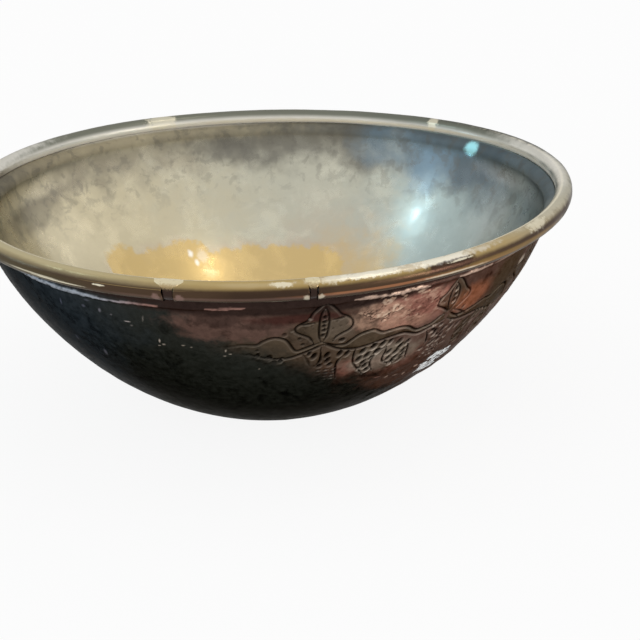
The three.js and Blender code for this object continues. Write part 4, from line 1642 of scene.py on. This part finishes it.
RIM_PATCHES = [
    # The far side, painted darker on its outer side and lighter on its inner one: painted shade and
    # painted light
    Patch(85, 120, 118, 400, "brass_beige", 0.9, 0.02, 0.25, 60, 6),
    Patch(32, 120, 42, 400, "brass_cool", 0.85, 0.02, 0.4, 60, 4),
    Patch(85, 184, 108, 44, "brass_light", 0.85, 0.02, 0.5, 60, 4),
    Patch(85, 84, 112, 72, "brass_shade", 0.92, 0.03, 0.3, 60, 5),
    Patch(46, 84, 22, 80, "brass_shade", 0.6, 0.03, 0.3, 60, 3),
    Patch(26, 74, 26, 38, "crust_black", 0.65, 0.03, 0.4, 60, 4),
    Patch(181, 194, 22, 26, "brass_dull", 0.85, 0.05, 0.4, 60, 4),
    # The near side, from the gold band down to the lower edge, with painted highlight lines and painted
    # shade below
    Patch(-150, 60, 40, 90, "brass_grey", 0.8, 0.05, 0.5, 60, 3),
    Patch(-90, 38, 60, 15, "brass_deep", 0.38, 0.06, 0.9, 90, 4),
    Patch(-127, 32, 20, 18, "brass_dull", 0.75, 0.1, 0.7, 200, 3),
    Patch(-28, 8, 10, 24, "brass_dull", 0.75, 0.3, 0.6, 200, 3),
    Patch(-90, -43, 400, 70, "brass_brown", 0.95, 0.02, 0.2, 300, 8),
    Patch(-155, -46, 32, 58, "brass_olive", 0.9, 0.03, 0.3, 200, 5),
    Patch(-66, -24, 20, 9, "brass_copper", 0.85, 0.12, 0.4, 260, 3),
    Patch(-42, -18, 16, 16, "brass_deep", 0.6, 0.1, 0.5, 200, 3),
    Patch(-114, 14, 8, 1.8, "brass", 0.45, 0.15, 0.6, 300, 4),
    Patch(-134.5, -20, 6, 5, "brass_pale", 0.6, 0.2, 0.6, 300, 3),
    Patch(-129, -28, 5.5, 5, "brass_pale", 0.8, 0.25, 0.4, 400, 3),
    Patch(-60, -63, 27, 3.5, "brass_pale", 0.85, 0.1, 0.5, 300, 5),
    Patch(-89, -60, 2, 4, "brass_pale", 0.7, 0.4, 0.3, 600),
    Patch(-90, -12, 8, 28, "crust_umber", 0.5, 0.2, 0.5, 200, 3),
    Patch(-97, -32, 20, 9, "brass_rose", 0.35, 0.2, 0.6, 300, 3),
    Patch(-90, -84, 400, 24, "crust_umber", 0.9, 0.05, 0.3, 300, 4),
    Patch(-58, -27, 6, 6, "brass_pale", 0.6, 0.3, 0.5, 400, 3),
    # The strip's ends at the joints
    Patch(-109.1, -30, 0.7, 22, "brass_rose", 0.9, 0.4, 0.4, 600),
    Patch(-104.9, -30, 0.7, 22, "brass_rose", 0.9, 0.4, 0.4, 600),
    Patch(-84.5, -34, 0.5, 16, "brass_pale", 0.5, 0.4, 0.4, 600),
    Patch(-82.1, -34, 0.5, 16, "brass_pale", 0.5, 0.4, 0.4, 600),
    # Places rubbed bare, and painted highlights
    Patch(-70, 104, 85, 9, "brass_pale", 0.8, 0.25, 0.45, 400, 5),
    Patch(-88.4, 52, 1.7, 18, "brass_pale", 0.75, 0.6, 0.35, 700),
    Patch(-80, 66, 2.6, 30, "brass_pale", 0.55, 0.6, 0.3, 600),
    Patch(-73.5, 70, 5.2, 30, "brass_pale", 0.85, 0.55, 0.2, 600, 3),
    Patch(-60, 76, 5.4, 36, "brass_pale", 0.9, 0.5, 0.2, 500, 4),
    Patch(-58.8, 22, 4.6, 28, "brass_brown", 0.97, 0.22, 0.2, 600, 4),
    Patch(-57, 36, 2.4, 6, "brass_pale", 0.8, 0.6, 0.3, 700),
    Patch(-34.5, 55, 3.4, 34, "brass_pale", 0.55, 0.6, 0.3, 600),
    Patch(-119.5, 2, 1.1, 5, "brass_pale", 0.8, 0.5, 0.3, 700),
    Patch(114, 135, 3.2, 70, "brass_pale", 0.6, 0.5, 0.3, 500),
    Patch(51, 140, 1.2, 60, "brass_pale", 0.6, 0.5, 0.3, 600),
    Patch(-15, 90, 22, 50, "brass_pale", 0.35, 0.5, 0.4, 300),
    Patch(12, 130, 18, 40, "brass_light", 0.6, 0.3, 0.6, 200),
    Patch(0, 100, 14, 34, "brass_light", 0.5, 0.3, 0.6, 200),
    Patch(-92.5, 52, 6, 14, "brass_pale", 0.14, 0.3, 0.8, 200),
    Patch(163, 108, 18, 42, "brass_light", 0.65, 0.4, 0.5, 200),
    Patch(-66, 70, 16, 26, "brass_light", 0.45, 0.5, 0.4, 400, 3),
]
PITTED = [
    Patch(-60.5, 55, 5.2, 46, "crust_brown", 1.0, 0.4, 0.25, 400, 4),
    Patch(-74, 60, 4.5, 30, "crust_brown", 1.0, 0.4, 0.25, 500),
    Patch(-34.5, 50, 3.2, 34, "crust_brown", 0.8, 0.4, 0.25, 500),
]


BRASS_SHEEN = (0.75, 0.74, 0.72, 1)
BLOOM = (155.0, 190.0)  # degrees round the oval, from where a pale bloom dulls the strip's inner edge


def brass_material(finish):
    """Brass of the edging, gold above and brown below, with pitted and rubbed places, painted highlights
    and painted shade.
    """
    material, nodes, shader = new_material("brass edging")
    around = nodes.mark("around")
    tint = place_patches(nodes, finish, around, tuple(finish.brass), RIM_PATCHES)
    scratches = nodes.group("Scratches", {"Stretch": 5.0, "Scale": 600.0, "Cover": 0.42})["Mask"]
    soiled = place_patches(nodes, finish, around, tint, PITTED)
    tint = nodes.blend(scratches, tint, soiled)
    nodes.put(shader.inputs["Base Color"], tint)
    shader.inputs["Specular Tint"].default_value = BRASS_SHEEN
    nodes.put(shader.inputs["Metallic"], nodes.between(around, *BLOOM, 1.0, 0.35))
    worn = nodes.mottle(scale=120.0, cover=0.45, softness=0.2)
    nodes.put(shader.inputs["Roughness"], nodes.between(worn["Mask"], 0.0, 1.0, 0.30, 0.42))
    height = nodes.math("ADD", nodes.times(scratches, -0.3), worn["Grain"])
    nodes.bump(shader, height, strength=0.2, distance=0.1 * MM)
    return material


SOLDER_STRAY = 60.0  # degrees round the oval that the edge of the solder strays
SOLDER_YELLOW = (56.0, 34.0)  # where it turns yellow downwards, and where dark
SOLDER_DARK = (34.0, 14.0)


def solder_material(finish):
    """Solder that ends raggedly above the dark gap."""
    material, nodes, shader = new_material("soft solder")
    around = nodes.mark("around")
    spots = nodes.mottle(scale=420.0, cover=0.38, softness=0.08)
    tint = nodes.over(finish.solder, finish.brass_deep, spots["Mask"], 0.6)
    stray = nodes.times(nodes.math("SUBTRACT", spots["Grain"], 0.5), SOLDER_STRAY)
    level = nodes.math("ADD", around, stray)
    tint = nodes.blend(nodes.between(level, *SOLDER_YELLOW, 0.0, 0.7), tint, finish.brass_deep)
    tint = nodes.blend(nodes.between(level, *SOLDER_DARK), tint, finish.solder_dark)
    nodes.put(shader.inputs["Base Color"], tint)
    shader.inputs["Metallic"].default_value = 1.0
    nodes.put(shader.inputs["Roughness"], nodes.between(spots["Mask"], 0.0, 1.0, 0.32, 0.55))
    nodes.bump(shader, spots["Grain"], strength=0.35, distance=0.15 * MM)
    return material


def iron_material(finish):
    """Dark iron with rust."""
    material, nodes, shader = new_material("iron wire")
    rust = nodes.mottle(scale=200.0, cover=0.4, softness=0.1)
    tint = nodes.over(finish.iron, finish.rust, rust["Mask"], 0.6)
    nodes.put(shader.inputs["Base Color"], tint)
    shader.inputs["Metallic"].default_value = 0.8
    nodes.put(shader.inputs["Roughness"], nodes.between(rust["Mask"], 0.0, 1.0, 0.45, 0.75))
    return material


# Stage


CAMERA_PLACE = Vector((0.0, -0.690232, 0.281454))
CAMERA_HEADING = math.radians(-1.5112)
CAMERA_DIP = math.radians(20.397)
CAMERA_ROLL = math.radians(1.4898)
LENS = 107.3
SENSOR = 36.0
CLIP = (0.01, 50)


def make_camera(scene):
    data = bpy.data.cameras.new("camera")
    data.lens = LENS
    data.sensor_width = SENSOR
    data.clip_start, data.clip_end = CLIP
    camera = bpy.data.objects.new("camera", data)
    scene.collection.objects.link(camera)
    turn = (
        Matrix.Rotation(CAMERA_HEADING, 4, "Z")
        @ Matrix.Rotation(math.pi / 2 - CAMERA_DIP, 4, "X")
        @ Matrix.Rotation(-CAMERA_ROLL, 4, "Z")
    )
    camera.matrix_world = Matrix.Translation(CAMERA_PLACE) @ turn
    scene.camera = camera


def make_floor(scene, stage):
    """A pale floor. The camera sees it nearly white, and its soft shadow stays."""
    reach = stage.floor_reach
    mesh = bpy.data.meshes.new("floor")
    corners = [(-reach, -reach, 0), (reach, -reach, 0), (reach, reach, 0), (-reach, reach, 0)]
    mesh.from_pydata(corners, [], [(0, 1, 2, 3)])
    material = bpy.data.materials.new("pale floor")
    material.use_nodes = True
    tree = material.node_tree
    tree.nodes.clear()
    nodes = Nodes(tree)
    matt = nodes.add("ShaderNodeBsdfDiffuse", {"Color": tuple(stage.floor_colour)})
    white = nodes.add("ShaderNodeEmission", {"Color": (1, 1, 1), "Strength": 1.0})
    light = nodes.add("ShaderNodeLightPath").outputs
    seen = nodes.math("MAXIMUM", light["Is Camera Ray"], light["Is Transmission Ray"])
    share_white = nodes.times(seen, stage.floor_white)
    share_glow = nodes.times(light["Is Glossy Ray"], stage.floor_glow)
    share_white = nodes.math("MAXIMUM", share_white, share_glow)
    mixed = nodes.add("ShaderNodeMixShader", {0: share_white, 1: matt.outputs[0], 2: white.outputs[0]})
    nodes.add("ShaderNodeOutputMaterial", {"Surface": mixed.outputs[0]})
    mesh.materials.append(material)
    floor = bpy.data.objects.new("floor", mesh)
    scene.collection.objects.link(floor)


def make_sky(scene, stage):
    world = bpy.data.worlds.new("plain sky")
    scene.world = world
    world.use_nodes = True
    tree = world.node_tree
    tree.nodes.clear()
    nodes = Nodes(tree)
    light = nodes.add("ShaderNodeLightPath").outputs
    strength = nodes.between(light["Is Camera Ray"], 0.0, 1.0, stage.sky, 1.0)
    sky = nodes.add("ShaderNodeBackground", {"Color": (1, 1, 1), "Strength": strength})
    nodes.add("ShaderNodeOutputWorld", {"Surface": sky.outputs[0]})


class Lamp(NamedTuple):
    """A strip lamp that shines at the bowl: the directions its two ends stand in, its distance and
    width in metres, its power in watts and its colour. With one direction it is a square."""

    name: str
    start: tuple
    end: tuple
    distance: float
    width: float
    power: float
    tint: tuple


LAMPS = [
    Lamp("key", (0.37, -0.09, 0.925), (0.37, -0.09, 0.925), 1.6, 0.12, 0.55, (1.0, 0.93, 0.80)),
    Lamp("cool lamp", (-0.749, 0.042, 0.661), (-0.749, 0.042, 0.661), 1.5, 0.05, 0.6, (0.66, 0.88, 1.0)),
    Lamp("cool strip", (-0.93, -0.28, 0.20), (-0.71, 0.08, 0.70), 1.5, 0.14, 0.4, (0.50, 0.78, 1.0)),
    Lamp("low left lamp", (-0.99, 0.085, 0.03), (-0.99, 0.085, 0.09), 1.3, 0.11, 0.6, (0.42, 0.76, 1.0)),
    Lamp("low right lamp", (0.93, -0.36, 0.02), (0.71, -0.70, 0.02), 1.3, 0.10, 3.4, (1.0, 0.93, 0.84)),
]
LAMP_AIM = Vector((0, 0, 0.05))


def make_lamps(scene, stage):
    for lamp in LAMPS:
        start, end = Vector(lamp.start).normalized(), Vector(lamp.end).normalized()
        back = (start + end).normalized()
        run = end - start
        long_side = run if run.length > 0 else Vector((0, 0, 1))
        data = bpy.data.lights.new(lamp.name, "AREA")
        data.shape = "RECTANGLE"
        data.size = lamp.width
        data.size_y = lamp.width + run.length * lamp.distance
        data.energy = lamp.power * stage.lamps
        data.color = lamp.tint
        made = bpy.data.objects.new(lamp.name, data)
        side = long_side.cross(back).normalized()
        turned = Matrix((side, back.cross(side), back)).transposed().to_4x4()
        made.matrix_world = Matrix.Translation(LAMP_AIM + back * lamp.distance) @ turned
        made.visible_camera = False
        scene.collection.objects.link(made)


# Operators


class BOWL_OT_shared_effects(bpy.types.Operator):
    """Makes the node groups that the materials share"""

    bl_idname = "bowl.shared_effects"
    bl_label = "Shared effects"

    def execute(self, context):
        make_patch_group()
        make_spot_group()
        make_mottle_group()
        make_scratch_group()
        return {"FINISHED"}


class BOWL_OT_stage(bpy.types.Operator):
    """Makes the camera, the floor, the sky and the lamps"""

    bl_idname = "bowl.stage"
    bl_label = "Stage"

    def execute(self, context):
        scene = context.scene
        scene.view_settings.view_transform = "Standard"
        make_camera(scene)
        make_floor(scene, scene.bowl_stage)
        make_sky(scene, scene.bowl_stage)
        make_lamps(scene, scene.bowl_stage)
        return {"FINISHED"}


class BOWL_OT_shell(bpy.types.Operator):
    """Raises the copper shell and engraves its frieze"""

    bl_idname = "bowl.shell"
    bl_label = "Shell"

    def execute(self, context):
        build_shell(context.scene)
        return {"FINISHED"}


class BOWL_OT_plating(bpy.types.Operator):
    """Lays the silver skin inside the shell"""

    bl_idname = "bowl.plating"
    bl_label = "Silver skin"

    def execute(self, context):
        build_plating(context.scene)
        return {"FINISHED"}


class BOWL_OT_edging(bpy.types.Operator):
    """Rolls the two lengths of brass edging over the wire"""

    bl_idname = "bowl.edging"
    bl_label = "Edging"

    def execute(self, context):
        scene = context.scene
        left, right = JOINTS["left"], JOINTS["right"]
        build_wire(scene)
        brass = brass_material(scene.bowl_finish)
        build_edging(scene, brass, "edging_short", "rim_edging_short", left, right)
        build_edging(scene, brass, "edging_long", "rim_edging_long", right, left)
        return {"FINISHED"}


class BOWL_OT_solder(bpy.types.Operator):
    """Solders the two joints of the edging"""

    bl_idname = "bowl.solder"
    bl_label = "Solder"

    def execute(self, context):
        scene = context.scene
        solder = solder_material(scene.bowl_finish)
        for side, joint in JOINTS.items():
            build_solder(scene, solder, f"solder_{side}", f"rim_solder_{side}", joint)
        return {"FINISHED"}


OPERATORS = [
    BOWL_OT_shared_effects,
    BOWL_OT_stage,
    BOWL_OT_shell,
    BOWL_OT_plating,
    BOWL_OT_edging,
    BOWL_OT_solder,
]


class BOWL_PT_panel(bpy.types.Panel):
    """Lists the steps and the sizes and colours they use"""

    bl_idname = "BOWL_PT_panel"
    bl_label = "Silver Plated Bowl"
    bl_space_type = "VIEW_3D"
    bl_region_type = "UI"
    bl_category = "Bowl"

    def draw(self, context):
        for operator in OPERATORS:
            self.layout.operator(operator.bl_idname)
        for name, group in GROUPS.items():
            box = self.layout.box()
            for prop in group.__annotations__:
                box.prop(getattr(context.scene, name), prop)


def register():
    for group in GROUPS.values():
        bpy.utils.register_class(group)
    for name, group in GROUPS.items():
        setattr(bpy.types.Scene, name, bpy.props.PointerProperty(type=group))
    for operator in OPERATORS:
        bpy.utils.register_class(operator)
    bpy.utils.register_class(BOWL_PT_panel)


def unregister():
    bpy.utils.unregister_class(BOWL_PT_panel)
    for operator in reversed(OPERATORS):
        bpy.utils.unregister_class(operator)
    for name, group in GROUPS.items():
        delattr(bpy.types.Scene, name)
        bpy.utils.unregister_class(group)


def main():
    register()
    bpy.ops.bowl.shared_effects()
    bpy.ops.bowl.stage()
    bpy.ops.bowl.shell()
    bpy.ops.bowl.plating()
    bpy.ops.bowl.edging()
    bpy.ops.bowl.solder()


if __name__ == "__main__":
    main()
